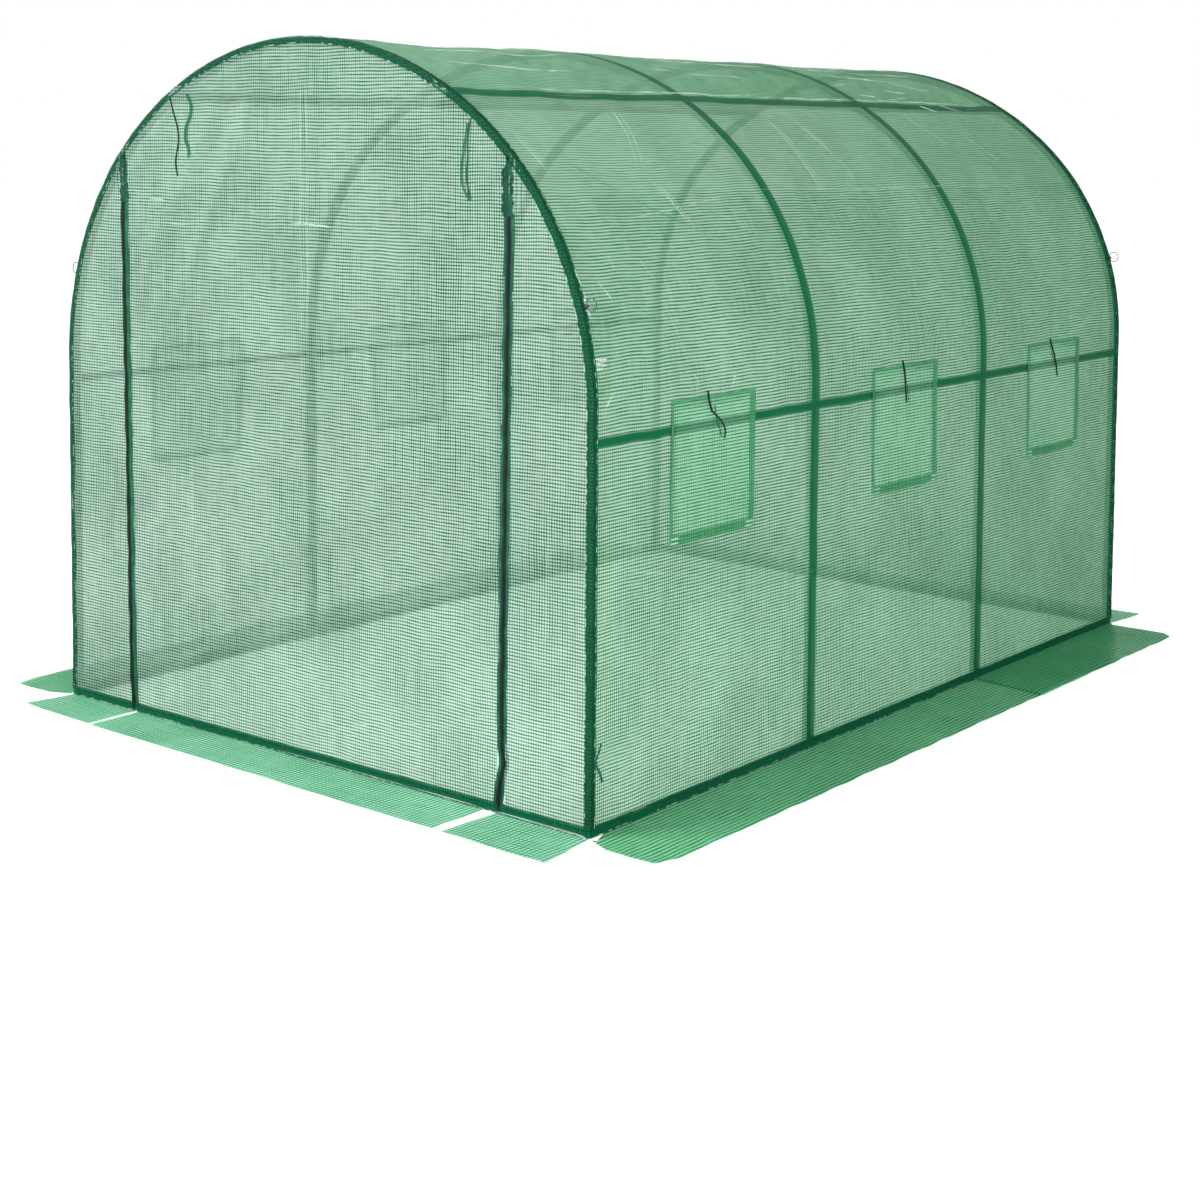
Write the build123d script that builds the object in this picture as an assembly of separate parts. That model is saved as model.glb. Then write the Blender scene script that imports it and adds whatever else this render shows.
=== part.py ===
from build123d import *
import math
import os

os.makedirs("parts", exist_ok=True)

# A walk-in polytunnel greenhouse: four coated steel hoops, joined by lengthwise rails,
# under a fitted cover with a zipped door at one end and three windows a side.
# X is the width, Y the length, and the door end faces -Y. The origin is on the ground,
# under the middle of the tunnel. All lengths are in millimetres.

# Frame
hoop_width = 2000.0  # outside of the posts
hoop_height = 1945.0  # top of the crown tube
straight_height = 1020.0  # where the posts start to bend
haunch_end = 48.9  # degrees from level, where the bend above the posts meets the flatter crown
hoop_count = 4
hoop_spacing = 960.0
hoop_tube = 22.0
hoop_wall = 0.8
rail_tube = 19.0
rail_wall = 0.7
tube_sides = 8
side_rail_height = 960.0
roof_rail_turn = 30.3  # degrees from the top of the arch to each roof rail
base_rail_height = 13.0

# Sockets that join the tubes
socket_wall = 1.2
socket_length = 84.0
socket_arm = 46.0  # from the hoop's centre line to the end of an arm
tube_clearance = 0.2
tube_stop = 6.0  # from the middle of a socket to the end of a hoop tube
rail_stop = 14.0  # from the hoop's centre line to the end of a rail

# Cover
cloth = 2.0
cloth_gap = 0.3
skirt_side = 245.0
skirt_end = 200.0
skirt_end_short = 160.0  # depth of the end skirts at the left corner
skirt_corner = 40.0
skirt_lead = 80.0  # from the wall to the straight part of a side skirt's front edge
skirt_notch = 30.0  # between the skirts at each corner
lap_skew = 50.0  # how far the second sheet's front edge leans towards the door
lap_reach = 12.0  # how far its front corner stands out past the first sheet
lap_length = 520.0  # of its outer edge
lap_round = 150.0
skirt_split_right = 30.0  # between the door's skirt and the one beside it
skirt_split_left = 6.0

# Door
zip_width = 26.0
zip_foot = 716.0  # from the middle to each zip at the ground
zip_head = 738.0  # from the middle to each zip at its top
zip_height = 1500.0
zip_coil = 3.0

# Windows
window_width = 370.0
window_bottom = 668.0
window_top = 1034.0
window_hem = 25.0
net_thickness = 1.2

# Ties and rings
tie_diameter = 4.0
tie_sides = 4
ring_height = 1280.0
ring_radius = 16.0
ring_wire = 3.0
ring_sides = 12
ring_bore = 6.0
button_width = 12.0
button_length = 14.0

half_span = (hoop_width - hoop_tube) / 2
crown_top = hoop_height - hoop_tube / 2
hoop_y = [(i - (hoop_count - 1) / 2) * hoop_spacing for i in range(hoop_count)]
end_y = hoop_y[-1]
bay_y = [(a + b) / 2 for a, b in zip(hoop_y, hoop_y[1:])]
socket_bore = hoop_tube + 2 * tube_clearance
socket_outside = socket_bore + 2 * socket_wall
arm_bore = rail_tube + 2 * tube_clearance
arm_outside = arm_bore + 2 * socket_wall
arm_floor = rail_stop - tube_clearance  # from the hoop's centre line to the bottom of an arm's bore
cover_in = socket_outside / 2 + cloth_gap  # from the hoop's centre line to the cloth
cover_out = cover_in + cloth

# The hoop is a three-centred arch: two haunch arcs, tangent to the posts, and a flatter
# crown arc, tangent to both. The span and the rise leave one radius for each.
rise = crown_top - straight_height
join_angle = math.radians(haunch_end)
slant = (1 - math.sin(join_angle)) / math.cos(join_angle)
haunch_radius = (rise - slant * half_span) / (1 - slant)
inset = half_span - haunch_radius
crown_radius = haunch_radius + inset / math.cos(join_angle)
crown_centre = crown_top - crown_radius
haunch_length = haunch_radius * join_angle
crown_station = straight_height + haunch_length + crown_radius * (math.pi / 2 - join_angle)
roof_station = crown_station - crown_radius * math.radians(roof_rail_turn)


def station_at(height):
    """The length from the ground, along the hoop, to a height on its post or haunch."""
    if height <= straight_height:
        return height
    return straight_height + haunch_radius * math.asin((height - straight_height) / haunch_radius)


side_station = station_at(side_rail_height)
ring_station = station_at(ring_height)


def hoop_point(station, offset=0.0, side=1):
    """A point of the hoop's centre line, at a length from the ground. side is 1 or -1."""
    if station <= straight_height:
        return Vector(side * (half_span + offset), 0, station)
    if station <= straight_height + haunch_length:
        turn = (station - straight_height) / haunch_radius
        reach = haunch_radius + offset
        across = inset + reach * math.cos(turn)
        return Vector(side * across, 0, straight_height + reach * math.sin(turn))
    turn = join_angle + (station - straight_height - haunch_length) / crown_radius
    reach = crown_radius + offset
    return Vector(side * reach * math.cos(turn), 0, crown_centre + reach * math.sin(turn))


def hoop_path(start, end, offset=0.0, side=1):
    """One half of the hoop between two stations, as tangent lines and arcs."""
    joins = [straight_height, straight_height + haunch_length]
    stops = [start] + [s for s in joins if start < s < end] + [end]
    edges = []
    for a, b in zip(stops, stops[1:]):
        first, last = hoop_point(a, offset, side), hoop_point(b, offset, side)
        middle = hoop_point((a + b) / 2, offset, side)
        if b <= straight_height:
            edges.append(Edge.make_line(first, last))
        else:
            edges.append(Edge.make_three_point_arc(first, middle, last))
    return edges


def flats(diameter, sides=tube_sides):
    """A round section drawn with flats, the diameter apart."""
    return RegularPolygon(diameter / 2, sides, major_radius=False, rotation=180 / sides)


def follow(path, section):
    return sweep(Plane(origin=path @ 0, z_dir=path % 0) * section, path=path)


def along_hoop(start, end, section):
    """A bar or tube that follows the right half of the hoop."""
    return follow(Wire(hoop_path(start, end)), section)


def both_sides(shape):
    return [shape, mirror(shape, about=Plane.YZ)]


def at_y(shape, y):
    return Pos(0, y, 0) * shape


def save(name, pieces):
    solids = [s for piece in pieces for s in piece.solids()]
    node = solids[0] if len(solids) == 1 else Compound(children=solids)
    export_step(node, f"parts/{name}.step")
    print(name, len(solids), "solids", round(sum(s.volume for s in solids)), "mm3")


def straight(start, end, section):
    """A bar or tube between two points."""
    return follow(Edge.make_line(start, end), section)


post_section = flats(hoop_tube) - flats(hoop_tube - 2 * hoop_wall)
rail_section = flats(rail_tube) - flats(rail_tube - 2 * rail_wall)

# Hoops: a post each side, a haunch tube each side and a crown tube between the roof rails.
# The bent tubes are drawn solid, because their ends are shut in the sockets.
post_foot = base_rail_height + rail_tube / 2 + tube_stop
post = along_hoop(post_foot, side_station - tube_stop, post_section)
haunch = along_hoop(side_station + tube_stop, roof_station - tube_stop, flats(hoop_tube))
half_crown = along_hoop(roof_station + tube_stop, crown_station, flats(hoop_tube))
crown = half_crown + mirror(half_crown, about=Plane.YZ)


def socket(station, half_length, arms):
    """A sleeve on the hoop with an arm for each rail. arms holds the directions of the arms."""
    centre = hoop_point(station)
    low = max(station - half_length, 0)
    sleeve = along_hoop(low, station + half_length, flats(socket_outside))
    hollow = along_hoop(low, station + half_length, flats(socket_bore))
    for arm in arms:
        mouth = centre + arm * socket_arm
        sleeve += straight(centre, mouth, flats(arm_outside))
        hollow += straight(centre + arm * arm_floor, mouth, flats(arm_bore))
    return sleeve - hollow


front, rear, inward = Vector(0, -1, 0), Vector(0, 1, 0), Vector(-1, 0, 0)


def hoop_sockets(arms, foot_arms):
    """The sockets at the foot, the side rail and the roof rail, on both sides."""
    places = ((base_rail_height, foot_arms), (side_station, arms), (roof_station, arms))
    return [s for station, turned in places for s in both_sides(socket(station, socket_length / 2, turned))]


door_sockets = hoop_sockets([rear], [rear, inward])
middle_sockets = hoop_sockets([front, rear], [front, rear])
rear_sockets = [mirror(s, about=Plane.XZ) for s in door_sockets]
for i, y in enumerate(hoop_y):
    sockets = door_sockets if i == 0 else rear_sockets if i == hoop_count - 1 else middle_sockets
    save(f"hoop_{i + 1}_posts", [at_y(p, y) for p in both_sides(post)])
    save(f"hoop_{i + 1}_arch", [at_y(p, y) for p in both_sides(haunch) + [crown]])
    save(f"hoop_{i + 1}_sockets", [at_y(s, y) for s in sockets])

# Rails: one tube a bay, each with its ends in two sockets
for level, station in (("base", base_rail_height), ("side", side_station), ("roof", roof_station)):
    for side, sign in (("left", -1), ("right", 1)):
        line = hoop_point(station, side=sign)
        tubes = [
            straight(line + rear * (a + rail_stop), line + rear * (b - rail_stop), rail_section)
            for a, b in zip(hoop_y, hoop_y[1:])
        ]
        save(f"{level}_rails_{side}", tubes)

# Base tubes across the two ends
cross = half_span - rail_stop
for name, y in (("door_base_tube", -end_y), ("rear_base_tube", end_y)):
    ends = [Vector(x, y, base_rail_height) for x in (-cross, cross)]
    save(name, [straight(*ends, rail_section)])

# Cover: flat side walls, bent haunch sheets and a crown sheet, with the gables at the ends
sheet_length = 2 * (end_y + cover_in)
gable_in = end_y + cover_in
gable_out = end_y + cover_out


def hoop_band(start, end):
    """A strip of cloth over the hoops, between two stations, as a face in the hoop's plane."""
    inner, outer = hoop_path(start, end, cover_in), hoop_path(start, end, cover_out)
    caps = [
        Edge.make_line(hoop_point(s, cover_in), hoop_point(s, cover_out)) for s in (start, end)
    ]
    return Face(Wire(inner + outer + caps))


def run_sheet(face):
    return at_y(extrude(face, amount=sheet_length, dir=(0, 1, 0)), -gable_in)


opening_bottom, opening_top = window_bottom + window_hem, window_top - window_hem
opening = Box(2 * cloth, window_width - 2 * window_hem, opening_top - opening_bottom)
side_wall = run_sheet(hoop_band(cloth, straight_height))
wall_middle = half_span + (cover_in + cover_out) / 2
for y in bay_y:
    side_wall -= Pos(wall_middle, y, (opening_bottom + opening_top) / 2) * opening
haunch_sheet = run_sheet(hoop_band(straight_height, roof_station))
half_roof = run_sheet(hoop_band(roof_station, crown_station))
for name, shape in (("side_cover", side_wall), ("haunch_cover", haunch_sheet)):
    right, left = both_sides(shape)
    save(f"{name}_right", [right])
    save(f"{name}_left", [left])
save("roof_cover", [half_roof + mirror(half_roof, about=Plane.YZ)])


def gable_face():
    """The end wall's outline, out to the cover's outer face."""
    right = hoop_path(cloth, crown_station, cover_out)
    left = hoop_path(cloth, crown_station, cover_out, side=-1)
    foot = Edge.make_line(
        Vector(-half_span - cover_out, 0, cloth), Vector(half_span + cover_out, 0, cloth)
    )
    return Face(Wire(right + left + [foot]))


def outline(corners):
    """A flat face in the end wall's plane, from corners of X and Z."""
    return Face(Wire.make_polygon([Vector(x, 0, z) for x, z in corners], close=True))


def end_panel(face, y=-gable_out):
    return at_y(extrude(face, amount=cloth, dir=(0, 1, 0)), y)


def zip_x(height):
    """The middle of the right zip, which leans outwards, at a height."""
    return zip_foot + (zip_head - zip_foot) * height / zip_height


def beside_zip(low, high, near, far):
    """A strip between two heights, from one distance off the right zip to another."""
    corners = [(zip_x(low) + near, low), (zip_x(low) + far, low)]
    corners += [(zip_x(high) + far, high), (zip_x(high) + near, high)]
    return outline(corners)


seam = zip_width / 2
above = 2 * hoop_height
strip = end_panel(gable_face() & beside_zip(0, above, seam, hoop_width))
save("door_end_strip_right", [strip])
save("door_end_strip_left", [mirror(strip, about=Plane.YZ)])
door_foot, door_head = zip_x(0) - seam, zip_x(zip_height) - seam
door_corners = [(-door_foot, 0), (door_foot, 0), (door_head, zip_height), (-door_head, zip_height)]
save("door_panel", [end_panel(gable_face() & outline(door_corners))])
arch_foot, arch_top = zip_x(zip_height) + seam, zip_x(above) + seam
arch_corners = [(-arch_foot, zip_height), (arch_foot, zip_height), (arch_top, above), (-arch_top, above)]
save("door_end_arch", [end_panel(gable_face() & outline(arch_corners))])
save("rear_end_wall", [end_panel(gable_face(), gable_in)])

# Zips: a tape with a raised coil down its middle
tape = end_panel(gable_face() & beside_zip(0, zip_height, -seam, seam))
coil = extrude(beside_zip(cloth, zip_height, -zip_coil, zip_coil), amount=zip_coil / 2, dir=(0, -1, 0))
zip_side = tape + at_y(coil, -gable_out)
save("zip_right", [zip_side])
save("zip_left", [mirror(zip_side, about=Plane.YZ)])

# Window flaps outside and nets inside, each a hemmed sheet over its opening
flap = Box(cloth, window_width, window_top - window_bottom)
flap_x = half_span + cover_out + cloth_gap + cloth / 2
net = Box(net_thickness, window_width, window_top - window_bottom)
net_x = half_span + cover_in - cloth_gap - net_thickness / 2
window_z = (window_top + window_bottom) / 2
for side, sign in (("right", 1), ("left", -1)):
    save(f"window_flaps_{side}", [Pos(sign * flap_x, y, window_z) * flap for y in bay_y])
    save(f"window_nets_{side}", [Pos(sign * net_x, y, window_z) * net for y in bay_y])


def ground_sheet(corners, layer=0):
    """A flat piece of skirt. layer counts the cloths below it."""
    face = Face(Wire.make_polygon([Vector(x, y, 0) for x, y in corners], close=True))
    return Pos(0, 0, layer * (cloth + cloth_gap)) * extrude(face, amount=cloth, dir=(0, 0, 1))


# Skirts on the ground. A second sheet laps over each side's from the third hoop on.
wall_x = half_span + cover_in
skirt_x = half_span + cover_out + skirt_side
corner_x = wall_x + skirt_notch
lap_x = half_span + cover_out + cloth_gap
lap_y = hoop_y[-2]
side_skirt = ground_sheet(
    [
        (wall_x, -gable_in),
        (wall_x + skirt_lead, -gable_out - skirt_corner),
        (skirt_x - skirt_corner / 2, -gable_out - skirt_corner),
        (skirt_x, -gable_out + skirt_corner),
        (skirt_x, end_y - skirt_corner),
        (skirt_x - skirt_corner, end_y),
        (wall_x, end_y),
    ]
)
lap = ground_sheet(
    [
        (lap_x, lap_y),
        (skirt_x + lap_reach, lap_y - lap_skew),
        (skirt_x, lap_y - lap_skew + lap_length),
        (lap_x, end_y),
    ],
    layer=1,
)
lap = fillet(lap.edges().filter_by(Axis.Z).sort_by(Axis.Y)[2], lap_round)
for side, pieces in zip(("right", "left"), zip(both_sides(side_skirt), both_sides(lap))):
    save(f"side_skirt_{side}", pieces)


def end_depth(x):
    """How far the door end's skirt reaches at X, from the short left corner to the right one."""
    share = (x + corner_x) / (2 * corner_x)
    return gable_out + skirt_end_short + (skirt_end - skirt_end_short) * share


left_cut, right_cut = -zip_foot + skirt_split_left / 2, zip_foot - skirt_split_right / 2
door_skirt = ground_sheet(
    [
        (left_cut, -gable_in),
        (right_cut, -gable_in),
        (right_cut, -end_depth(right_cut)),
        (left_cut, -end_depth(left_cut)),
    ]
)
save("door_skirt", [door_skirt])
for side, sign, split in (("right", 1, skirt_split_right), ("left", -1, skirt_split_left)):
    near, far = sign * (zip_foot + split / 2), sign * corner_x
    corners = [
        (near, -gable_in),
        (sign * (wall_x - cloth_gap), -gable_in),
        (far, -gable_out - skirt_notch),
        (far, -end_depth(far)),
        (near, -end_depth(near)),
    ]
    save(f"door_end_skirt_{side}", [ground_sheet(corners)])
rear_corners = [
    (-wall_x + cloth_gap, gable_in),
    (wall_x - cloth_gap, gable_in),
    (corner_x, gable_out + skirt_notch),
    (corner_x, gable_out + skirt_end),
    (-corner_x, gable_out + skirt_end),
    (-corner_x, gable_out + skirt_notch),
]
save("rear_skirt", [ground_sheet(rear_corners)])

# Rings for guy ropes: a button on the cover at each corner, with a ring through it
ring_seat = hoop_point(ring_station, cover_out)
outward = ring_seat - hoop_point(ring_station)
lean = Pos(ring_seat.X, 0, ring_seat.Z) * Rot(0, -math.degrees(math.atan2(outward.Z, outward.X)), 0)
button = extrude(Plane.YZ * flats(button_width), amount=button_length)
button -= Pos(button_length / 2, 0, 0) * extrude(flats(ring_bore), amount=button_width, both=True)
band = flats(2 * ring_radius + ring_wire, ring_sides) - flats(2 * ring_radius - ring_wire, ring_sides)
ring = Pos(button_length / 2 + ring_radius, 0, 0) * extrude(Plane.XZ * band, amount=ring_wire / 2, both=True)
for name, shape in (("corner_buttons", button), ("corner_rings", ring)):
    save(name, [at_y(p, y) for p in both_sides(lean * shape) for y in (-end_y, end_y)])

# Ties: plain cords that hang beside the door and over the windows. Their points are X and Z
# on the door end, and Y and Z on the right side, which the left side mirrors.
door_ties = {
    "left_outer": [
        (-528, 1793), (-520, 1762), (-506, 1732), (-494, 1700),
        (-492, 1665), (-503, 1633), (-508, 1601), (-498, 1572),
    ],
    "left_inner": [
        (-456, 1800), (-440, 1772), (-443, 1740), (-460, 1710),
        (-465, 1678), (-452, 1650), (-448, 1618),
    ],
    "right_outer": [
        (612, 1730), (605, 1698), (602, 1665), (603, 1631),
        (598, 1597), (602, 1563), (613, 1532),
    ],
    "right_inner": [
        (600, 1720), (594, 1689), (587, 1656), (582, 1622),
        (580, 1588), (589, 1557), (606, 1531),
    ],
}
window_ties = [
    [(-996, 1048), (-988, 1018), (-976, 992), (-949, 978), (-924, 956), (-913, 937), (-919, 918)],
    [(-26, 1048), (-14, 1020), (-7, 988), (-3, 954), (4, 922)],
    [(920, 1044), (938, 1012), (958, 984), (972, 953), (979, 920)],
]
tie_seat = cloth_gap + tie_diameter / 2


def tie(name, points):
    """A round cord along straight runs joined by arcs as large as the runs allow."""
    points = [Vector(*p) for p in points]
    runs = [(b - a).length for a, b in zip(points, points[1:])]
    turns = [(b - a).get_angle(c - b) for a, b, c in zip(points, points[1:], points[2:])]
    radii = [
        0.45 * min(a, b) / math.tan(math.radians(turn) / 2)
        for a, b, turn in zip(runs, runs[1:], turns)
    ]
    path = FilletPolyline(*points, radius=radii)
    section = flats(tie_diameter, tie_sides)
    cord = follow(path, section)
    save(f"tie_{name}", [cord])
    print("  length", round(path.length), "radii", [round(r) for r in radii])
    print("  volume over section times length", round(cord.volume / (section.area * path.length), 4))


for name, points in door_ties.items():
    y = -gable_out - tie_seat if name.endswith("outer") else -gable_in + tie_seat
    tie(f"door_{name}", [(x, y, z) for x, z in points])
tie_x = half_span + cover_out + cloth_gap + cloth + tie_seat
for side, sign in (("right", 1), ("left", -1)):
    for i, points in enumerate(window_ties):
        tie(f"window_{side}_{i + 1}", [(sign * tie_x, y, z) for y, z in points])
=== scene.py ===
# %% [markdown]
# A walk-in polytunnel: four steel hoops under a fitted cover of reinforced green film.
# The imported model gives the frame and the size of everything, and this script dresses it.
# Each step says what the piece is on the real tunnel, how it could be made, and why it is
# made this way.

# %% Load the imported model
import bpy
import math
import numpy as np
from mathutils import Matrix


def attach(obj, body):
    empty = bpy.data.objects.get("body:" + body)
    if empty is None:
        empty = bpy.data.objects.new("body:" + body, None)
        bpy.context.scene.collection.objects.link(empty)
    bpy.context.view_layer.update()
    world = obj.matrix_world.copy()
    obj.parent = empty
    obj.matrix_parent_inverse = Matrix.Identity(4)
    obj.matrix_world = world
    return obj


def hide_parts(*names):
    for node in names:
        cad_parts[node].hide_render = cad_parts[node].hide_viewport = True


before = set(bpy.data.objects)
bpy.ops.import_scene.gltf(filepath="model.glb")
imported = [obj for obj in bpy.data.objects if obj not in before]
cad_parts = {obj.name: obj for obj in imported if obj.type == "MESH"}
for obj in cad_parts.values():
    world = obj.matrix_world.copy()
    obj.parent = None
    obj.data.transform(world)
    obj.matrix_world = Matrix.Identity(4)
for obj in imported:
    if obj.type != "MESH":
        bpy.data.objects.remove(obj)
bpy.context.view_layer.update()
print("packed nodes:", len(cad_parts))

# %% [markdown]
# The camera stands off the door end's right corner, at head height. The posts are upright
# in the picture although the tunnel reaches far below the horizon, which is what a lens
# shifted down gives. So the camera tilts down by four degrees only, and the shift does the
# rest of the framing. Without the shift, the posts would lean together.

# %% Camera
image_side = 1200.0
focal = 2042.34  # in pixels of the image
axis_row = 300.0  # the row that the lens axis meets
turn, tilt, roll = -0.675644, -0.077992, 0.007534


def camera_axes(turn, tilt, roll):
    """Right, up and backward directions of a camera turned about Z, tilted, then rolled."""
    ahead = np.array([math.sin(turn) * math.cos(tilt), math.cos(turn) * math.cos(tilt), math.sin(tilt)])
    side = np.array([math.cos(turn), -math.sin(turn), 0.0])
    above = np.cross(side, ahead)
    right = side * math.cos(roll) + above * math.sin(roll)
    return right, above * math.cos(roll) - side * math.sin(roll), -ahead


camera = bpy.data.objects.new("camera", bpy.data.cameras.new("camera"))
bpy.context.scene.collection.objects.link(camera)
bpy.context.scene.camera = camera
pose = np.eye(4)
pose[:3, 0], pose[:3, 1], pose[:3, 2] = camera_axes(turn, tilt, roll)
pose[:3, 3] = 4.02027, -5.19451, 1.68049
camera.matrix_world = Matrix(pose.tolist())
camera.data.sensor_width = 36.0
camera.data.lens = focal / image_side * camera.data.sensor_width
camera.data.shift_y = (axis_row - image_side / 2) / image_side
camera.data.clip_end = 200.0
bpy.context.scene.view_settings.view_transform = "Standard"
print("lens", round(camera.data.lens, 1), "mm, shift", round(camera.data.shift_y, 3))

# %% [markdown]
# Every finish below is a small tree of shader nodes. A helper that adds one node, sets its
# values and links its inputs keeps those trees short enough to read. Each material starts
# empty, so that nothing in it is left over from Blender's defaults.

# %% Helpers for materials


def new_material(name):
    """An empty material that is ready for nodes."""
    material = bpy.data.materials.new(name)
    material.use_nodes = True
    material.node_tree.nodes.clear()
    return material


def put(material, kind, links=None, **settings):
    """Adds a node. settings are its own options, and links sets or links its input sockets."""
    node = material.node_tree.nodes.new("ShaderNode" + kind)
    for key, value in settings.items():
        setattr(node, key, value)
    for key, value in (links or {}).items():
        if isinstance(value, bpy.types.NodeSocket):
            material.node_tree.links.new(value, node.inputs[key])
        else:
            node.inputs[key].default_value = value
    return node


def maths(material, operation, a, b=0.0, c=0.0):
    """One sum, such as a plus b, as a node."""
    return put(material, "Math", {0: a, 1: b, 2: c}, operation=operation).outputs[0]


def blend(material, share, a, b, mode="MIX"):
    """Colour a turning into colour b as share goes from 0 to 1."""
    node = put(material, "Mix", {0: share, 6: a, 7: b}, data_type="RGBA", blend_type=mode)
    return node.outputs[2]


def noise(material, at, scale, detail=2.0, roughness=0.5):
    """A soft random field over the vector at."""
    links = {"Vector": at, "Scale": scale, "Detail": detail, "Roughness": roughness}
    return put(material, "TexNoise", links).outputs["Fac"]


def spread(material, value, low, high, to_low, to_high):
    """Maps low..high onto to_low..to_high, smoothly and without going past either end."""
    links = {"Value": value, 1: low, 2: high, 3: to_low, 4: to_high}
    return put(material, "MapRange", links, interpolation_type="SMOOTHSTEP").outputs[0]


def finish_with(material, shader):
    """Sends the shader to the material's surface."""
    put(material, "OutputMaterial", {"Surface": shader})
    print("material", material.name, "has", len(material.node_tree.nodes), "nodes")
    return material

# %% [markdown]
# The new pieces are surfaces worked out with numpy. A cloth is a grid of points over two
# lengths, and a tube is a ring carried along a line. Both go into a mesh as whole arrays,
# which is quick and keeps the shape's formula in one place. Each piece keeps its cloth
# lengths as a UV map in metres, so that a weave follows the cloth round the arch.

# %% Helpers for shapes
ahead_y, up_z = np.array([0.0, 1.0, 0.0]), np.array([0.0, 0.0, 1.0])


def make_piece(name, points, faces, uv, material, replaced=(), marks=None):
    """A mesh object from points, faces of four corners and a UV pair for each point. marks are
    further values by name, one number for each point, which a material can read."""
    used, faces = np.unique(faces, return_inverse=True)
    faces = faces.reshape(-1, 4)
    points, uv = points[used], uv[used]
    mesh = bpy.data.meshes.new(name)
    mesh.vertices.add(len(points))
    mesh.vertices.foreach_set("co", points.astype(np.float32).ravel())
    mesh.loops.add(faces.size)
    mesh.loops.foreach_set("vertex_index", faces.astype(np.int32).ravel())
    mesh.polygons.add(len(faces))
    mesh.polygons.foreach_set("loop_start", np.arange(0, faces.size, 4, dtype=np.int32))
    mesh.update(calc_edges=True)
    layer = mesh.uv_layers.new(name="cloth")
    layer.data.foreach_set("uv", uv[faces.ravel()].astype(np.float32).ravel())
    mesh.polygons.foreach_set("use_smooth", np.full(len(faces), True))
    for mark, values in (marks or {}).items():
        layer = mesh.attributes.new(mark, "FLOAT", "POINT")
        layer.data.foreach_set("value", values.ravel()[used].astype(np.float32))
    mesh.validate(clean_customdata=False)
    piece = bpy.data.objects.new(name, mesh)
    bpy.context.scene.collection.objects.link(piece)
    mesh.materials.append(material)
    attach(piece, "root")
    if replaced:
        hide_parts(*replaced)
    print(name, len(faces), "faces")
    return piece

# %% [markdown]
# Tubes and cloths are both grids. One helper numbers the corners of a grid's cells, and a
# tube is a grid whose last column is joined to its first. Blender can sweep a circle along a
# curve too, but a grid lets the radius change along the line, as rims and teeth need.

# %% Grids and tubes


def cells(rows, columns, closed=False):
    """The corners of the cells between rows and columns of points, numbered row by row. In a
    closed grid, the last column is joined to the first."""
    index = np.arange(rows * columns).reshape(rows, columns)
    if closed:
        index = np.hstack([index, index[:, :1]])
    return np.stack([index[:-1, :-1], index[:-1, 1:], index[1:, 1:], index[1:, :-1]], -1).reshape(-1, 4)


def rings(line, radius, sides=14):
    """A tube's points and faces. A ring of the given radius stands square to the line at each
    of its points, and the tube is shut by small rings at both ends."""
    line, radius = np.asarray(line, float), np.broadcast_to(radius, len(line))
    ahead = np.gradient(line, axis=0)
    ahead /= np.linalg.norm(ahead, axis=1, keepdims=True)
    guide = up_z if abs(ahead[:, 1]).max() > 0.9 else ahead_y
    across = np.cross(ahead, guide)
    across /= np.linalg.norm(across, axis=1, keepdims=True)
    square = np.cross(across, ahead)
    line = np.vstack([line[:1], line, line[-1:]])
    across, square = (np.vstack([v[:1], v, v[-1:]]) for v in (across, square))
    radius = np.concatenate([[1e-4], radius, [1e-4]])
    angle = np.linspace(0, 2 * np.pi, sides, endpoint=False)
    circle = np.cos(angle)[None, :, None] * across[:, None] + np.sin(angle)[None, :, None] * square[:, None]
    points = line[:, None] + radius[:, None, None] * circle
    length = np.concatenate([[0.0], np.cumsum(np.linalg.norm(np.diff(line, axis=0), axis=1))])
    uv = np.stack(np.broadcast_arrays(angle[None] * radius.max(), length[:, None]), -1)
    faces = cells(*points.shape[:2], closed=True)[:, ::-1]
    return points.reshape(-1, 3), faces, uv.reshape(-1, 2)


def join_up(name, made, material, replaced=()):
    """One piece from several runs of points, faces and UV pairs. Each run's faces count on
    from the points of the runs before it."""
    points, faces, uvs = zip(*made)
    starts = np.cumsum([0] + [len(p) for p in points[:-1]])
    faces = np.vstack([f + start for f, start in zip(faces, starts)])
    return make_piece(name, np.vstack(points), faces, np.vstack(uvs), material, replaced)


def tubes(name, parts, material, replaced=(), sides=14):
    """One piece from several tubes, each a line and a radius."""
    made = [rings(line, radius, sides) for line, radius in parts]
    return join_up(name, made, material, replaced)


def line_of(a, b, steps=2):
    """A straight line from a to b."""
    share = np.linspace(0, 1, steps)[:, None]
    return np.asarray(a, float) * (1 - share) + np.asarray(b, float) * share


def stops(marks, step):
    """Values from the first mark to the last, about a step apart, with one at every mark."""
    runs = [np.linspace(a, b, max(2, round((b - a) / step) + 1))[:-1] for a, b in zip(marks, marks[1:])]
    return np.concatenate(runs + [[marks[-1]]])


print("a closed grid of 2 rows and 14 columns has", len(cells(2, 14, closed=True)), "cells")

# %% [markdown]
# The ties are braided cords, some black and some green. A wave texture turned diagonally
# gives the strands, and noise gives the fibres. On a cord 4 mm thick the braid is only just
# seen, so a bump is enough and no strand is modelled.

# %% Cord material


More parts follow.
